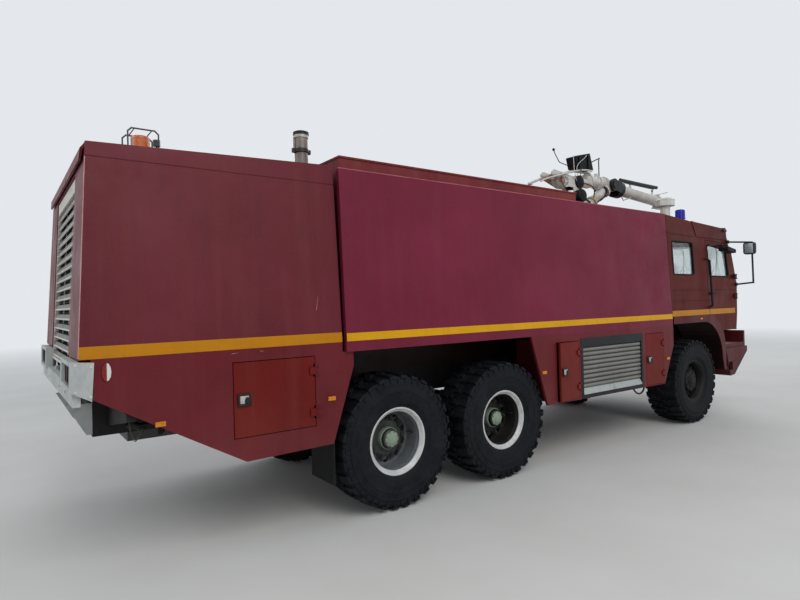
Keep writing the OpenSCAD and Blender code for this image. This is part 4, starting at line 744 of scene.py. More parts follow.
boltDull = plainCoat("boltDull", "#4c4a48", "#3a3836", 0.5, metal=0.5, dirt="#2a221c", amount=0.6, scale=50)
wheel = {
    "disc": {"front": 0.04, "mid": -0.02, "rear": -0.02},  # how far the disc stands out from the rim's middle
    "hubTop": {"front": 0.06, "mid": 0.11, "rear": 0.11},  # how far the hub stands out from the disc
    "nutRing": 0.167, "nuts": 10, "nut": (0.035, 0.019, 0.016, 0.036), "washer": 0.023,
    "boltRing": 0.06, "bolts": 8, "bolt": (0.018, 0.008),
}


def makeWheelDetails(tag, place, out):
    node, axis = "rim_" + tag, Vector((0, out, 0))
    centre, _ = boxOf(node)
    disc = centre.y + out * wheel["disc"][place]
    hubTop = disc + out * wheel["hubTop"][place]
    bm = bmesh.new()
    for at in roundAxle(centre, disc + out * 0.016, wheel["nutRing"], wheel["nuts"]):
        addRod(bm, at, at + axis * 0.008, wheel["washer"], sides=20)
        addHexNut(bm, at + axis * 0.007, axis, *wheel["nut"])
    for at in roundAxle(centre, hubTop - out * 0.001, wheel["boltRing"], wheel["bolts"], 0.5):
        addHexNut(bm, at, axis, *wheel["bolt"])
    valve = Vector((centre.x + 0.235, disc + out * 0.012, centre.z + 0.02))
    addRod(bm, valve, valve + axis * 0.07, 0.0055, sides=10)
    addRod(bm, valve + axis * 0.066, valve + axis * 0.086, 0.0075, sides=10)
    newPiece("wheelFixings_" + tag, bm, rimDark if place == "front" else boltDull, bodyOf(node))


for tag, place, out in wheels:
    makeWheelDetails(tag, place, out)
print("wheel fixings set")

# Lenses of all the lamps in one finish: red at the tail, amber low on the sides, clear in front

lamps = {"sideTop": 1.195, "frontX": 4.0, "pale": (-4.412, 1.2), "ribs": 900.0}


def lampFinish():
    f = Finish("lampLens", rough=0.12, Coat_Weight=0.2, shine=0.3)
    side, (paleX, paleZ) = lamps["sideTop"], lamps["pale"]
    f.colour(f.mix("#8f1712", "#6a0f0d", f.cloud(0.3, 0.7, 60, 3)))
    f.over("#cf7c0a", f.span(f.z, side - 0.005, side + 0.005, 1.0, 0.0))
    f.over("#d9d8d2", f.times(f.span(f.x, paleX - 0.001, paleX + 0.001), f.span(f.z, paleZ, paleZ + 0.01)))
    f.over("#b9c0c2", f.span(f.x, lamps["frontX"], lamps["frontX"] + 0.01))
    f.over("#2a1b14", f.cloud(0.55, 0.85, 50, 4, end=0.4))
    f.rough(f.cloud(0.4, 0.8, 30, 4, start=0.08, end=0.3))
    ribs = (f.maths("SINE", f.times(way, lamps["ribs"])) for way in (f.z, f.y))
    return f.bump(f.plus(*ribs), 0.0006, 0.45)


gun = {"tilt": 4.3, "pivot": (2.784, 3.53), "collar": 0.331, "strut": (0.34, 0.14)}


def barrelFinish():  # white gun with its black collar and strut, told apart by place
    f = Finish("barrelPaint", rough=0.42, shine=0.35)
    lean = math.radians(gun["tilt"])
    dx, dz = f.less(f.x, gun["pivot"][0]), f.less(f.z, gun["pivot"][1])
    along = f.less(f.times(dx, math.cos(lean)), f.times(dz, math.sin(lean)))
    above = f.plus(f.times(dz, math.cos(lean)), f.times(dx, math.sin(lean)))
    collar = f.span(along, gun["collar"], gun["collar"] + 0.002, 1.0, 0.0)
    start, height = gun["strut"]
    strut = f.times(f.span(above, height, height + 0.002), f.span(along, start, start + 0.002))
    cloud = f.cloud(0.35, 0.7, 5, 5, rough=0.62)
    stain = f.cloud(0.52, 0.78, 16, 6, (1, 1, 0.3), rough=0.7, shift=5.0)
    f.colour(f.mix("#d2cfc5", "#bab7ad", cloud))
    f.over("#6a5a4b", f.times(stain, 0.55))
    f.over(f.mix("#08090b", "#141518", cloud), f.maths("MAXIMUM", collar, strut))
    f.rough(f.span(stain, 0, 1, 0.36, 0.55))
    return f.bump(f.plus(cloud, f.times(f.noise(180, 3), 0.15)), 0.001, 0.25)


hubGreen = plainCoat("hubGreen", "#8f9f8a", "#7b8a79", 0.5, dirt="#4d4a3c", amount=0.6, scale=22, shine=0.3)
meshGrey = plainCoat("meshGrey", "#2a2b2c", "#343434", 0.7, dirt="#55504a", amount=0.5, scale=20, shine=0.2)
edgePale = plainCoat("edgePale", "#c79a94", "#b98079", 0.55, dirt="#8a4a46", amount=0.7, scale=30)
chainSteel = plainCoat("chainSteel", "#77736c", "#5f5a53", 0.5, metal=0.6, dirt="#4a3426", amount=0.7, scale=60)
hoseBlack = plainCoat("hoseBlack", "#111113", "#1c1c1e", 0.55, dirt="#4a443d", amount=0.4, scale=30, shine=0.25)
dress("lamps", lampFinish())
dress("monitor_barrel", barrelFinish())

# Tail lamps' black frames

tailFrame = {"lamps": (-1.165, -1.05, -0.935), "low": 1.321, "high": 1.439, "rim": 0.01, "x": (-4.604, -4.576),
             "screws": (1.333, 1.427)}


def makeTailFrames(t):
    bm = bmesh.new()
    for lamp in t["lamps"]:
        y0, y1, z0, z1, rim = lamp - 0.004, lamp + 0.104, t["low"], t["high"], t["rim"]
        for a, b in (((y0, z0), (y1, z0 + rim)), ((y0, z1 - rim), (y1, z1)), ((y0, z0), (y0 + rim, z1)),
                     ((y1 - rim, z0), (y1, z1))):
            addBlock(bm, (t["x"][0], *a), (t["x"][1], *b), 0.003)
        for z in t["screws"]:
            addRod(bm, (-4.6035, lamp + 0.05, z), (-4.606, lamp + 0.05, z), 0.004, sides=10)
    bothSides(bm)
    newPiece("tailLampFrames", bm, trimBlack)


makeTailFrames(tailFrame)

# Hub caps of the rear axles, pale green, each on a short neck

hubCap = {
    "out": 0.11,
    "cap": [(0, 0.018), (0.0245, 0.01728), (0.0434, 0.01404), (0.0504, 0.0081), (0.0665, 0.0063), (0.07, 0.0036),
            (0.07, -0.004)],
    "neck": [(0.099, 0.028), (0.099, 0.07), (0.096, 0.076), (0.091, 0.078)],
}
for tag, place, out in wheels:
    if place == "front":
        continue
    centre, _ = boxOf("rim_" + tag)
    disc = centre.y + out * wheel["disc"][place]
    bm = bmesh.new()
    addTurned(bm, hubCap["cap"], (centre.x, disc + out * hubCap["out"], centre.z), (0, out, 0), 36)
    addTurned(bm, hubCap["neck"], (centre.x, disc, centre.z), (0, out, 0), 40)
    newPiece("hubCap_" + tag, bm, hubGreen, bodyOf("rim_" + tag), smoothAngle=40)
print("lamps and hubs finished")

# Dark mesh behind the slats of the rear grille, and pale lines along the housing's rear corner edges

grille = {"lean": 72 / 1380, "foot": (-4.565, 1.48), "half": 0.635, "low": 1.392, "high": 2.632, "deep": 0.044,
          "pitch": 0.028, "wire": 0.002}


def makeGrilleMesh(g):
    bm = bmesh.new()
    slope = Matrix.Translation((g["foot"][0] - g["lean"] * g["foot"][1], 0, 0))
    slope[0][2] = g["lean"]
    deep, half, low, high, pitch, wire = (g[key] for key in ("deep", "half", "low", "high", "pitch", "wire"))
    addBlock(bm, (deep, -half, low), (deep + 0.004, half, high))
    for k in range(int(2 * half / pitch)):
        y = -half + pitch / 2 + k * pitch
        addBlock(bm, (deep - 0.003, y - wire, low), (deep, y + wire, high))
    for k in range(int((high - low) / pitch)):
        z = low + pitch / 2 + k * pitch
        addBlock(bm, (deep - 0.005, -half, z - wire), (deep - 0.003, half, z + wire))
    bmesh.ops.transform(bm, matrix=slope, verts=bm.verts)
    newPiece("grilleMesh", bm, meshGrey, smoothAngle=0)


makeGrilleMesh(grille)
for side, s in reversed(flanks):
    bm = bmesh.new()
    addRod(bm, (-4.5655, s * 1.2045, 1.49), (-4.4975, s * (wallY(2.755, "housing") - 0.0005), 2.755), 0.0028, sides=8)
    newPiece("cornerEdge_" + side, bm, edgePale, smoothAngle=50)
print("rear grille finished")

# Cords: the hose under the middle skirt, and the hoses, cables and pale lines that turn with the water cannon's head

cannonBody = bodyOf("monitor_head")
cords = [  # name, diameter, finish, body, path from one solid to another
    ("hoseUnderSkirt", 0.021, hoseBlack, "chassis", [
        (1.53, -1.12, 0.664), (1.54, -1.122, 0.632), (1.567, -1.126, 0.595), (1.612, -1.13, 0.566),
        (1.665, -1.132, 0.556), (1.718, -1.13, 0.566), (1.763, -1.126, 0.595), (1.79, -1.122, 0.63),
        (1.8, -1.12, 0.653)]),
    ("cannonFeedHose", 0.026, hoseBlack, cannonBody, [
        (2.08, -0.03, 3.42), (2.076, -0.045, 3.38), (2.09, -0.058, 3.33), (2.125, -0.067, 3.283),
        (2.178, -0.07, 3.249), (2.24, -0.064, 3.231), (2.295, -0.048, 3.229), (2.34, -0.03, 3.24)]),
    ("cannonReturnHose", 0.023, hoseBlack, cannonBody, [
        (2.64, -0.06, 3.5), (2.65, -0.085, 3.45), (2.63, -0.095, 3.39), (2.585, -0.09, 3.33), (2.53, -0.075, 3.285),
        (2.49, -0.05, 3.26)]),
    ("driveCable", 0.012, hoseBlack, cannonBody, [
        (1.965, -0.112, 3.722), (1.94, -0.15, 3.705), (1.895, -0.185, 3.64), (1.87, -0.195, 3.56),
        (1.865, -0.19, 3.48), (1.88, -0.172, 3.42), (1.905, -0.15, 3.372)]),
    ("motorCable", 0.014, hoseBlack, cannonBody, [
        (2.02, -0.128, 3.47), (2.06, -0.17, 3.455), (2.13, -0.19, 3.43), (2.215, -0.17, 3.395), (2.29, -0.12, 3.345),
        (2.335, -0.078, 3.3)]),
    ("legCable", 0.011, hoseBlack, cannonBody, [
        (2.64, 0.01, 3.478), (2.65, -0.06, 3.47), (2.645, -0.11, 3.44), (2.6, -0.125, 3.38), (2.53, -0.12, 3.32),
        (2.455, -0.09, 3.262), (2.43, -0.06, 3.245)]),
    ("boxLineFront", 0.009, whitePaint, cannonBody, [
        (1.815, -0.112, 3.85), (1.806, -0.128, 3.8), (1.798, -0.136, 3.73), (1.796, -0.142, 3.65),
        (1.812, -0.142, 3.58), (1.85, -0.13, 3.52), (1.89, -0.115, 3.48)]),
    ("boxLineBack", 0.009, whitePaint, cannonBody, [
        (2.14, -0.112, 3.9), (2.08, -0.128, 3.86), (1.99, -0.134, 3.8), (1.9, -0.14, 3.74), (1.85, -0.146, 3.67),
        (1.87, -0.14, 3.6), (1.91, -0.115, 3.56)]),
]


def smoothPath(points, count):  # evenly spaced points on a smooth line through the given ones
    pts = [Vector(p) for p in points]
    pts = [2 * pts[0] - pts[1]] + pts + [2 * pts[-1] - pts[-2]]
    fine = []
    for a, b, c, d in zip(pts, pts[1:], pts[2:], pts[3:]):
        for t in (k / 12 for k in range(12)):
            bend = (2 * a - 5 * b + 4 * c - d) * t * t + (3 * b - a - 3 * c + d) * t ** 3
            fine.append(0.5 * ((2 * b) + (c - a) * t + bend))
    fine.append(pts[-2])
    total = sum((q - p).length for p, q in zip(fine, fine[1:]))
    out, run, want = [fine[0]], 0.0, 1
    for p, q in zip(fine, fine[1:]):
        step = (q - p).length
        while want < count - 1 and run + step >= total * want / (count - 1):
            out.append(p.lerp(q, (total * want / (count - 1) - run) / step))
            want += 1
        run += step
    return out + [fine[-1]], total


for name, diameter, finish, body, points in cords:
    path, total = smoothPath(points, 24)
    piece = addTube(name, path, diameter / 2, finish, body, cord=True)
print("cords laid")

# The rear connector with its chain, and two drain stubs below the skirt


connector = {
    "at": (-4.087, -0.6, 0.897), "tip": (-4.204, -0.6, 0.963),
    "plug": [(0, 0), (0.03, 0), (0.034, 0.004), (0.034, 0.022), (0.026, 0.026), (0.026, 0.085), (0.036, 0.088),
             (0.036, 0.118), (0.03, 0.122), (0.022, 0.122), (0.022, 0.1), (0, 0.1)],
    "chain": [(-4.19, -0.632, 0.952), (-4.182, -0.64, 0.9), (-4.165, -0.645, 0.84), (-4.15, -0.645, 0.822),
              (-4.128, -0.64, 0.85), (-4.1, -0.63, 0.915)],
    "link": 0.02,
    "stubs": [  # profile, place, direction
        ([(0, 0), (0.018, 0), (0.022, 0.006), (0.022, 0.05), (0.016, 0.06), (0, 0.06)], (-3.967, -0.6, 0.905),
         (0.15, 0, -1)),
        ([(0, 0), (0.014, 0), (0.017, 0.005), (0.017, 0.04), (0.012, 0.046), (0, 0.046)], (-4.079, -1.1, 0.985),
         (-0.1, 0, -1)),
    ],
}


def makeChain(name, points, link, finish, body):
    path, total = smoothPath(points, 80)
    bm = bmesh.new()
    count = int(total / (link * 0.72))
    for k in range(count):
        spot = min(78, int(k * 79 / count))
        ahead = (path[spot + 1] - path[spot]).normalized()
        twist = Matrix.Rotation(math.radians(90 * (k % 2)), 4, "X")
        fit = Matrix.Translation(path[spot]) @ ahead.to_track_quat("X", "Z").to_matrix().to_4x4() @ twist
        ring = bmesh.ops.create_circle(bm, cap_ends=False, radius=link * 0.11, segments=6)["verts"]
        stand = Matrix.Translation((link * 0.28, 0, 0)) @ Matrix.Rotation(math.radians(90), 4, "X")
        bmesh.ops.transform(bm, matrix=stand, verts=ring)
        edges = list({e for v in ring for e in v.link_edges})
        before = set(bm.verts) - set(ring)
        bmesh.ops.spin(bm, geom=ring + edges, cent=(0, 0, 0), axis=(0, 0, 1), angle=math.tau, steps=12,
                       use_merge=True)
        made = [v for v in bm.verts if v not in before]
        bmesh.ops.scale(bm, vec=(1.6, 1, 1), verts=made)
        bmesh.ops.transform(bm, matrix=fit, verts=made)
    newPiece(name, bm, finish, body, smoothAngle=60)


def makeConnector(c):
    bm = bmesh.new()
    at = Vector(c["at"])
    addTurned(bm, c["plug"], at, Vector(c["tip"]) - at, 28)
    addBlock(bm, (-4.115, -0.645, 0.925), (-4.055, -0.555, 0.933), 0.002)
    addRod(bm, (-4.085, -0.6, 0.895), (-4.085, -0.6, 0.96), 0.01, sides=12)
    newPiece("rearConnector", bm, trimBlack)
    makeChain("connectorChain", c["chain"], c["link"], chainSteel, "chassis")
    stub = bmesh.new()
    for profile, place, axis in c["stubs"]:
        addTurned(stub, profile, place, axis, 20)
    newPiece("drainStubs", stub, rubberBlack)


makeConnector(connector)
print("connector and chain hung")

# Finishes told apart by place: shutter frame and ribs, slats, handles and rails on the cab, beacon, exhaust


shutter = {"x": (0.373, 1.551), "z": (0.699, 1.23), "foot": 0.773, "pitch": 0.05089, "rail": 0.77}


def shutterFinish():
    f = Finish("shutterFinish", rough=0.45, shine=0.3)
    inside = f.times(f.between(f.x, *shutter["x"]), f.between(f.z, *shutter["z"]))
    phase = f.maths("FRACT", f.maths("DIVIDE", f.less(f.z, shutter["foot"]), shutter["pitch"]))
    grooveShade = f.span(f.maths("ABSOLUTE", f.less(phase, 0.5)), 0.16, 0.44)
    ribHighlight = f.between(phase, 0.5, 0.95, 0.2)
    rail = shutter["rail"]
    runs = f.cloud(0.52, 0.78, 12, 5, (1, 1, 0.12), rough=0.7, shift=2.0)
    edge = f.mix("#090e16", "#121820", f.cloud(0.35, 0.7, 6, 5))
    edge = f.mix(edge, "#3c3a39", f.cloud(0.55, 0.8, 18, 6, rough=0.7, end=0.4))
    f.colour(f.mix("#83817b", "#6d6b66", f.cloud(0.3, 0.7, 3, 5)))
    # painted highlight on the upper part of each rounded rib
    f.over("#a3a29b", f.times(ribHighlight, 0.4))
    f.over("#b4bab8", f.span(f.z, rail, rail + 0.002, 0.8, 0.0))
    # painted shade in the grooves between the ribs, above the foot rail
    f.over("#2c2a28", f.times(f.times(grooveShade, f.span(f.z, rail + 0.002, rail + 0.004)), 0.9))
    f.over("#5a5046", f.times(runs, 0.5))
    f.over(edge, f.less(1.0, inside))
    f.rough(f.span(runs, 0, 1, 0.4, 0.6))
    return f.bump(f.plus(f.noise(120, 4), f.times(f.noise(9, 3), 2.0)), 0.0012, 0.3)


slats = {"half": 0.627, "z": (1.399, 2.624), "foot": 1.378, "pitch": 0.07731}


def slatFinish():
    f = Finish("slatFinish", rough=0.5, shine=0.3)
    phase = f.maths("FRACT", f.maths("DIVIDE", f.less(f.z, slats["foot"]), slats["pitch"]))
    inside = f.span(f.maths("ABSOLUTE", f.y), slats["half"], slats["half"] + 0.002, 1.0, 0.0)
    face = f.times(f.times(inside, f.between(f.z, *slats["z"])), f.span(phase, 0.5, 0.56))
    f.colour(f.mix("#d6d3c9", "#bfbbb0", f.cloud(0.35, 0.7, 6, 5)))
    f.over("#6f6253", f.times(f.cloud(0.5, 0.78, 20, 6, (1, 0.3, 1), rough=0.7), 0.55))
    # painted shade: each slat's slanted face dark grey below its pale lip
    f.over(f.mix("#5d5c58", "#454441", f.cloud(0.35, 0.7, 14, 5)), f.times(face, 0.88))
    f.rough(f.cloud(0.3, 0.7, 16, 4, start=0.42, end=0.6))
    return f.bump(f.noise(140, 4), 0.0008, 0.25)


fitting = {"out": 0.02, "colours": ("#121315", "#242527")}


def addDarkFittings(f, half, lean):  # rails and handles stand off the wall and are black
    reach = f.less(half + fitting["out"], f.times(f.maths("MAXIMUM", f.less(f.z, walls["foot"]), 0.0), lean))
    off = f.maths("GREATER_THAN", f.maths("ABSOLUTE", f.y), reach)
    return f.over(f.mix(*fitting["colours"], f.cloud(0.4, 0.7, 40, 4)), off)

beacon = {"drum": 0.0675, "lensLow": 0.0395, "lensHigh": 0.209, "ribs": 60.0}


def beaconFinish(centre, foot):
    f = Finish("beaconFinish", rough=0.15, Coat_Weight=0.4)
    dx, dy, drum = f.less(f.x, centre.x), f.less(f.y, centre.y), beacon["drum"]
    low, high = foot + beacon["lensLow"], foot + beacon["lensHigh"]
    glass = f.times(f.span(f.reach(dx, dy), drum, drum + 0.0005, 1.0, 0.0), f.span(f.z, low, low + 0.0015))
    glass = f.times(glass, f.span(f.z, high, high + 0.0005, 1.0, 0.0))
    f.colour(f.mix("#131416", "#2a2725", f.cloud(0.4, 0.7, 30, 5)))
    f.over(f.mix("#dd6d12", "#b9520e", f.cloud(0.3, 0.75, 16, 4)), glass)
    f.rough(f.cloud(0.3, 0.8, 25, 4, start=0.12, end=0.4))
    turn = f.maths("ARCTANGENT", f.maths("DIVIDE", dy, f.plus(dx, 0.0001)))
    return f.bump(f.maths("SINE", f.times(turn, beacon["ribs"])), 0.0008, 0.4)


exhaust = {"clamp": (0.166, 0.206), "collar": (0.296, 0.3235)}  # heights above its foot; black above the collar


def exhaustFinish(base):
    f = Finish("exhaustFinish", rough=0.5, metal=0.5)
    h = f.less(f.z, base)
    top = exhaust["collar"][1]
    f.colour(f.mix("#857c71", "#655b58", f.cloud(0.35, 0.7, 9, 5, rough=0.65)))
    f.over("#4a2c1c", f.times(f.cloud(0.5, 0.75, 24, 6, rough=0.7), 0.7))
    f.over(f.mix("#b9b6b0", "#8a847b", f.cloud(0.4, 0.7, 30, 4)), f.between(h, *exhaust["collar"]))
    f.over("#2b2a2b", f.between(h, *exhaust["clamp"]))
    f.over("#17181a", f.span(h, top, top + 0.001))
    f.rough(f.cloud(0.3, 0.75, 20, 4, start=0.35, end=0.7))
    return f.bump(f.noise(70, 5, rough=0.7), 0.001, 0.35)


dress("shutters", shutterFinish())
dress("rear_grille", slatFinish())
addDarkFittings(cabPaint, *walls["cab"])
low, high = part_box("amber_beacon")
dress("amber_beacon", beaconFinish((low + high) / 2, low.z))
dress("exhaust_stack", exhaustFinish(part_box("exhaust_stack")[0].z))
print("nodes with several colours dressed")

# Wipers, mirror glasses, headlamp rims and the dials of the dashboard

screen = {"foot": (4.384, 1.951), "knee": (4.275, 2.431), "top": (4.127, 2.664)}
wiper = {"feet": (0.2, 0.72), "footZ": 1.965, "tipZ": 2.32, "reach": 0.2, "bladeFoot": 2.1, "step": 0.0783,
         "steps": 6, "lean": (0.16, 0.08), "boss": [(0, 0.016), (0.014, 0.014), (0.018, 0.006), (0.018, -0.012)]}
mirror = {"x": (4.266, 4.269), "y": -1.409, "z": 2.4875, "halfY": 0.067, "halfZ": 0.0805, "round": 0.1,
          "clamps": (2.42, 2.555)}
headlamp = {"y": (-0.905, -0.69), "z": 1.085, "x": 4.61, "screws": 4, "screwRing": 0.101,
            "rim": [(0.094, -0.006), (0.094, 0.002), (0.098, 0.006), (0.104, 0.006), (0.108, 0.002), (0.108, -0.006)]}
dial = {"x": 3.974, "z": 1.88, "lean": -0.19, "switches": 8, "firstSwitch": -0.42, "switchStep": 0.075,
        "places": ((0.3, 0.036), (0.4, 0.052), (0.52, 0.036), (0.64, 0.052), (0.74, 0.036))}


def screenX(z):
    low, high = (screen["foot"], screen["knee"]) if z < screen["knee"][1] else (screen["knee"], screen["top"])
    return low[0] + (high[0] - low[0]) * (z - low[1]) / (high[1] - low[1])


def makeWipers(w):
    bm = bmesh.new()
    for y in w["feet"]:
        foot = Vector((screenX(w["footZ"]) + 0.014, y, w["footZ"]))
        addTurned(bm, w["boss"], foot, (1, 0, 0.2), 20)
        tip = (screenX(w["tipZ"]) + 0.022, y + w["reach"], w["tipZ"])
        addRod(bm, foot + Vector((0.01, 0, 0)), tip, 0.006, 0.004, sides=10)
        inner, spread = w["lean"]
        blade = [(y + inner + spread * k / w["steps"], w["bladeFoot"] + k * w["step"]) for k in range(w["steps"] + 1)]
        for a, b in zip(blade, blade[1:]):
            for off, radius, sides in ((0.01, 0.006, 8), (0.004, 0.004, 6)):
                addRod(bm, (screenX(a[1]) + off, *a), (screenX(b[1]) + off, *b), radius, sides=sides)
    bothSides(bm)
    newPiece("wipers", bm, trimBlack)


def makeMirrorGlass(m):
    bm = bmesh.new()
    y, z, halfY, halfZ = m["y"], m["z"], m["halfY"], m["halfZ"]
    addBlock(bm, (m["x"][0], y - halfY, z - halfZ), (m["x"][1], y + halfY, z + halfZ), 0.0012)
    for v in bm.verts:  # rounded outline
        across, up = (v.co.y - y) / halfY, (v.co.z - z) / halfZ
        v.co.y = y + halfY * across * (1 - m["round"] * up * up)
        v.co.z = z + halfZ * up * (1 - m["round"] * across * across)
    bothSides(bm)
    silver = Finish("mirrorSilver", rough=0.4, metal=0.15)
    silver.colour(silver.mix("#9aa4a8", "#7d8689", silver.cloud(0.5, 0.8, 12, 5, end=0.5)))
    silver.rough(silver.cloud(0.5, 0.85, 30, 4, start=0.25, end=0.45))
    newPiece("mirrorGlass", bm, silver)
    rim = bmesh.new()
    for clamp in m["clamps"]:
        addRod(rim, (4.318, y, clamp), (4.334, y, clamp), 0.011, sides=12)
    bothSides(rim)
    newPiece("mirrorClamps", rim, boltSteel)


def makeHeadlampRims(h):
    bm = bmesh.new()
    for y in h["y"]:
        addTurned(bm, h["rim"], (h["x"], y, h["z"]), (1, 0, 0), 40)
        for k in range(h["screws"]):
            a = (k + 0.5) * math.tau / h["screws"]
            at = (y + h["screwRing"] * math.cos(a), h["z"] + h["screwRing"] * math.sin(a))
            addRod(bm, (h["x"] + 0.002, *at), (h["x"] + 0.0068, *at), 0.004, sides=10)
    bothSides(bm)
    newPiece("headlampRims", bm, boltSteel)


def makeDials(d):
    bm, face = bmesh.new(), bmesh.new()
    for y, r in d["places"]:
        at, axis = (d["x"], y, d["z"]), (-1, 0, d["lean"])
        rim = [(r * 0.86, -0.004), (r * 0.9, 0.01), (r, 0.01), (r * 1.08, 0.002), (r * 1.08, -0.004)]
        addTurned(bm, rim, at, axis, 28)
        addTurned(face, [(0, 0.003), (r * 0.88, 0.003), (r * 0.88, -0.004)], at, axis, 28)
    for k in range(d["switches"]):
        y = d["firstSwitch"] + k * d["switchStep"]
        addBlock(bm, (3.955, y, 1.84), (3.972, y + 0.035, 1.88), 0.003)
    newPiece("dialRims", bm, trimBlack)
    newPiece("dialFaces", face, slatPaint)


makeWipers(wiper)
makeMirrorGlass(mirror)
makeHeadlampRims(headlamp)
makeDials(dial)
print("wipers, mirrors and dials made")

# Bolts round the water cannon's flange and on the rear bumper

bolts = {
    "flange": (2.1, 3.077), "flangeRing": 0.135, "flangeCount": 12, "flangeNut": (0.022, 0.013, 0.011, 0.022),
    "corner": ((-4.585, 1.29), (-4.585, 1.455), (-4.505, 1.255), (-4.5, 1.44)), "cornerNut": (0.018, 0.007),
    "face": (-0.8, -0.4), "faceNut": (0.02, 0.008),
}


def makeBolts(b):
    bm = bmesh.new()
    x, z = b["flange"]
    for k in range(b["flangeCount"]):
        a = (k + 0.5) * math.tau / b["flangeCount"]
        at = (x + b["flangeRing"] * math.cos(a), b["flangeRing"] * math.sin(a), z)
        addHexNut(bm, at, (0, 0, 1), *b["flangeNut"])
    newPiece("cannonFlangeBolts", bm, boltSteel, cannonBody)
    rear = bmesh.new()
    for x, z in b["corner"]:
        addHexNut(rear, (x, -1.2345, z), (0, -1, 0), *b["cornerNut"])
    for y in b["face"]:
        addHexNut(rear, (-4.5995, y, 1.25), (-1, 0, 0), *b["faceNut"])
    bothSides(rear)
    newPiece("bumperBolts", rear, whitePaint)


makeBolts(bolts)
print("bolts set")

# Planet hubs of the steered wheels, dark, standing out to the rim's edge

frontHub = {
    "profile": [(0, 0.176), (0.0451, 0.176), (0.05084, 0.166), (0.07708, 0.164), (0.082, 0.156), (0.082, 0.152),
                (0.092, 0.148), (0.138, 0.148), (0.148, 0.136), (0.154, 0.106), (0.164, 0.096), (0.206, 0.092),
                (0.212, 0.086), (0.212, 0.056), (0.182, 0.04)],
    "nutRing": 0.186, "nuts": 10, "nutOut": 0.09, "nut": (0.034, 0.02, 0.017, 0.034),
    "boltRing": 0.114, "bolts": 8, "boltOut": 0.147, "bolt": (0.022, 0.01),
}


def makeFrontHub(tag, out, h):
    centre, _ = boxOf("rim_" + tag)
    bm = bmesh.new()
    addTurned(bm, h["profile"], centre, (0, out, 0), 48)
    for at in roundAxle(centre, centre.y + out * h["nutOut"], h["nutRing"], h["nuts"]):
        addHexNut(bm, at, (0, out, 0), *h["nut"])
    for at in roundAxle(centre, centre.y + out * h["boltOut"], h["boltRing"], h["bolts"], 0.5):
        addHexNut(bm, at, (0, out, 0), *h["bolt"])
    newPiece("frontHub_" + tag.split("_")[1], bm, rimDark, bodyOf("rim_" + tag), smoothAngle=32)


for tag, place, out in wheels:
    if place == "front":
        makeFrontHub(tag, out, frontHub)

# Flange rings of the rims, and the colours of the rims behind them

rimRing = [(0.046, 0.034), (0.04, 0.022), (0.03, 0.018), (0.027, 0.01), (0.02, 0.002), (0.01, 0.0005), (0.003, 0.003),
           (0.001, 0.009)]  # how far inside the rim's edge and face
rimShades = {  # barrel and disc
    # mid: barrel and disc painted near black as shade; the rear keeps the rim's grey
    "mid": (("#2c2927", "#1d1b1a"), ("#141312", "#1f1c1a")),
    "rear": (("#74777a", "#5f6265"), ("#4a4a4b", "#333232")),
}
rimBright = plainCoat("rimBright", "#d3d4d1", "#bcbdba", 0.4, metal=0.1, dirt="#5a5148", amount=0.45, scale=26)


def rimFinish(name, axle, barrel, disc):  # bright lip, duller barrel, dark disc
    f = Finish(name, rough=0.5, metal=0.1, shine=0.3)
    ring = f.reach(f.less(f.x, axle.x), f.less(f.z, axle.z))
    cloud = f.cloud(0.35, 0.7, 7, 5, rough=0.65)
    grime = f.cloud(0.5, 0.78, 24, 6, rough=0.7)
    f.colour(f.mix(*disc, cloud))
    f.over(f.mix(*barrel, cloud), f.span(ring, 0.216, 0.224))
    f.over(f.mix("#bfc1bd", "#a7a9a6", cloud), f.span(ring, 0.262, 0.266))
    f.over("#2b2622", f.times(grime, 0.6))
    f.rough(f.span(grime, 0, 1, 0.42, 0.65))
    return f.bump(f.noise(90, 4, rough=0.7), 0.0008, 0.3)


for tag, place, out in wheels:
    node = "rim_" + tag
    centre, half = boxOf(node)
    bm = bmesh.new()
    addTurned(bm, [(half.z - inner, half.y - deep) for inner, deep in rimRing], centre, (0, out, 0), 72)
    newPiece("rimRing_" + tag, bm, rimDark if place == "front" else rimBright, bodyOf(node), smoothAngle=60)
    if place in rimShades:
        dress(node, rimFinish(node, centre, *rimShades[place]))
print("hubs and rim rings made")

# Scratches, the short dull line on the lip of the front arch, and painted shade and highlight in the paint

marks = {
    # x, z and their run
    "scratches": ((-2.935, 1.742, 0.02, 0.11), (-3.62, 1.452, 0.05, 0.004), (-3.41, 1.458, 0.03, -0.003)),
    "archLine": ((3.09, -1.2018, 1.4955), (3.33, -1.1982, 1.507), 0.0004),
    "lines": (("z", 1.868, 2.44, 4.42), ("z", 1.718, 2.44, 3.52), ("z", 2.632, 2.4, 4.3), ("x", 3.249, 1.718, 1.868),
              ("x", 3.447, 1.262, 2.632)),  # axis across, place on it, from, to
    "lineHalf": 0.004, "lineShade": "#1d0f0e", "edgeHighlight": "#a8646c",
    "roofMarker": ((4.018, -1.172, 2.75), (4.112, -1.12, 2.79), 0.006),
    "archMarker": ((3.15, -1.209, 1.449), (3.208, -1.199, 1.469), 0.003),
    "apron": ((4.2, -0.9, 1.12), (4.208, 0.9, 1.3), 0.002),
}


def makeScratches():
    bm = bmesh.new()
    for x, z, dx, dz in marks["scratches"]:
        ends = [(x + dx * k, -(wallY(z + dz * k, "housing") + 0.0004), z + dz * k) for k in (0, 1)]
        addRod(bm, *ends, 0.0016, 0.0006, sides=5)
    newPiece("scratches", bm, edgePale)


def makeBlockPiece(name, block, finish, mirrored=True):
    bm = bmesh.new()
    addBlock(bm, *block)
    if mirrored:
        bothSides(bm)
    newPiece(name, bm, finish)


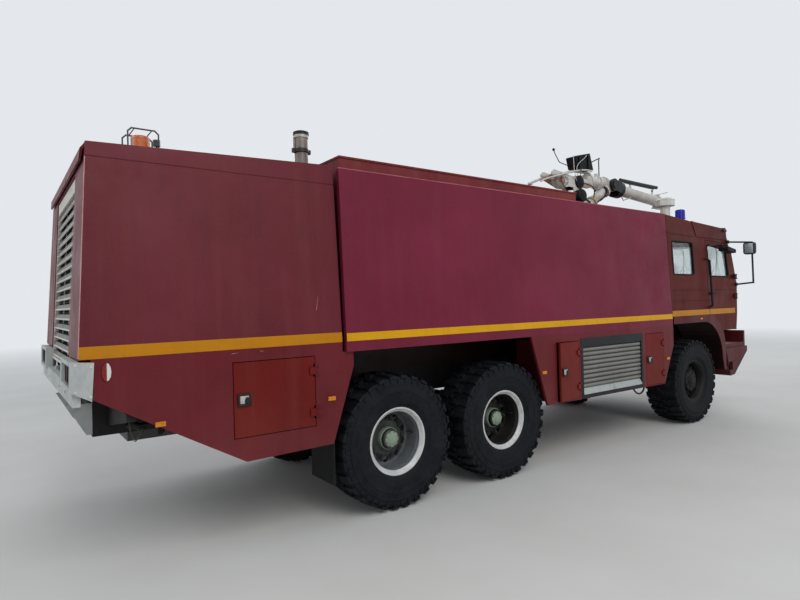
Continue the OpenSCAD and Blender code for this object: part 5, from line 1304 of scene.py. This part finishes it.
def addPressedLines(f):  # painted shade in the pressed lines, the door gap and the gutter
    mask = 0.0
    for axis, place, low, high in marks["lines"]:
        across, along = (f.z, f.x) if axis == "z" else (f.x, f.z)
        line = f.between(across, place - marks["lineHalf"], place + marks["lineHalf"], 0.002)
        mask = f.maths("MAXIMUM", mask, f.times(line, f.between(along, low, high, 0.01)))
    mask = f.times(mask, f.span(f.maths("ABSOLUTE", f.y), 1.05, 1.06))
    return f.over(marks["lineShade"], f.times(mask, 0.85))


def addEdgeHighlight(f, top):  # a painted highlight, pale, along the panel's upper edge
    return f.over(marks["edgeHighlight"], f.times(f.span(f.z, top - 0.01, top - 0.004), f.cloud(0.3, 0.6, 6, 4, start=0.5)))


makeScratches()
makeBlockPiece("archLine", marks["archLine"], stripeDull)
print("small marks made")

# painted shade along the cab's pressed lines, door gap and gutter
addPressedLines(cabPaint)
# painted highlight along the top edge of the side panels
addEdgeHighlight(tankPaint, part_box("side_panels")[1].z)
makeBlockPiece("roofMarkers", marks["roofMarker"], trimBlack)
makeBlockPiece("archMarkers", marks["archMarker"], amberLens)
print("lines and small lamps done")

# Painted shade with the roof's reddish reflection on the cannon's head, the white rod beside it, and the apron behind
# the front bumper

cannon = {
    "rod": [(1.062, -0.14, 3.398), (1.21, -0.14, 3.455), (1.47, -0.14, 3.528), (1.814, -0.142, 3.624),
            (2.06, -0.142, 3.668), (2.23, -0.13, 3.676)],
    "rodRadius": 0.012,
    "stays": [(1.62, 3.57), (2.14, 3.674)],
    "shadePatches": [(1.9, 2.3, 3.28, 3.52, "#8f6c47"), (1.18, 1.6, 3.2, 3.56, "#7d4636"),
               (2.3, 2.62, 3.1, 3.36, "#a99b86")],
}


def headFinish():
    f = plainCoat("headPaint", "#d6d4cc", "#c4c2ba", 0.42, dirt="#6a5e52", amount=0.5, scale=18)
    patchCloud = f.cloud(0.3, 0.48, 7, 5, rough=0.65, shift=5.0, start=0.25)
    for left, right, low, high, shade in cannon["shadePatches"]:
        spot = f.times(f.between(f.x, left, right, 0.05), f.between(f.z, low, high, 0.05))
        # brown patches: painted shade with the roof's reddish reflection on the head
        f.over(shade, f.times(f.times(spot, patchCloud), 0.95))
    return f


def makeCannonRod():
    bm = bmesh.new()
    path, _ = smoothPath(cannon["rod"], 20)
    for a, b in zip(path, path[1:]):
        addRod(bm, a, b, cannon["rodRadius"], sides=12)
    for p in path:
        bmesh.ops.create_uvsphere(bm, u_segments=12, v_segments=8, radius=cannon["rodRadius"] * 1.01,
                                  matrix=Matrix.Translation(p))
    for x, z in cannon["stays"]:
        addRod(bm, (x, -0.14, z), (x, -0.06, z - 0.03), 0.01, sides=10)
    newPiece("cannonRod", bm, whitePaint, cannonBody, smoothAngle=50)


dress("monitor_head", headFinish())
makeCannonRod()
makeBlockPiece("frontApron", marks["apron"], frameBlack, mirrored=False)
print("cannon and apron done")
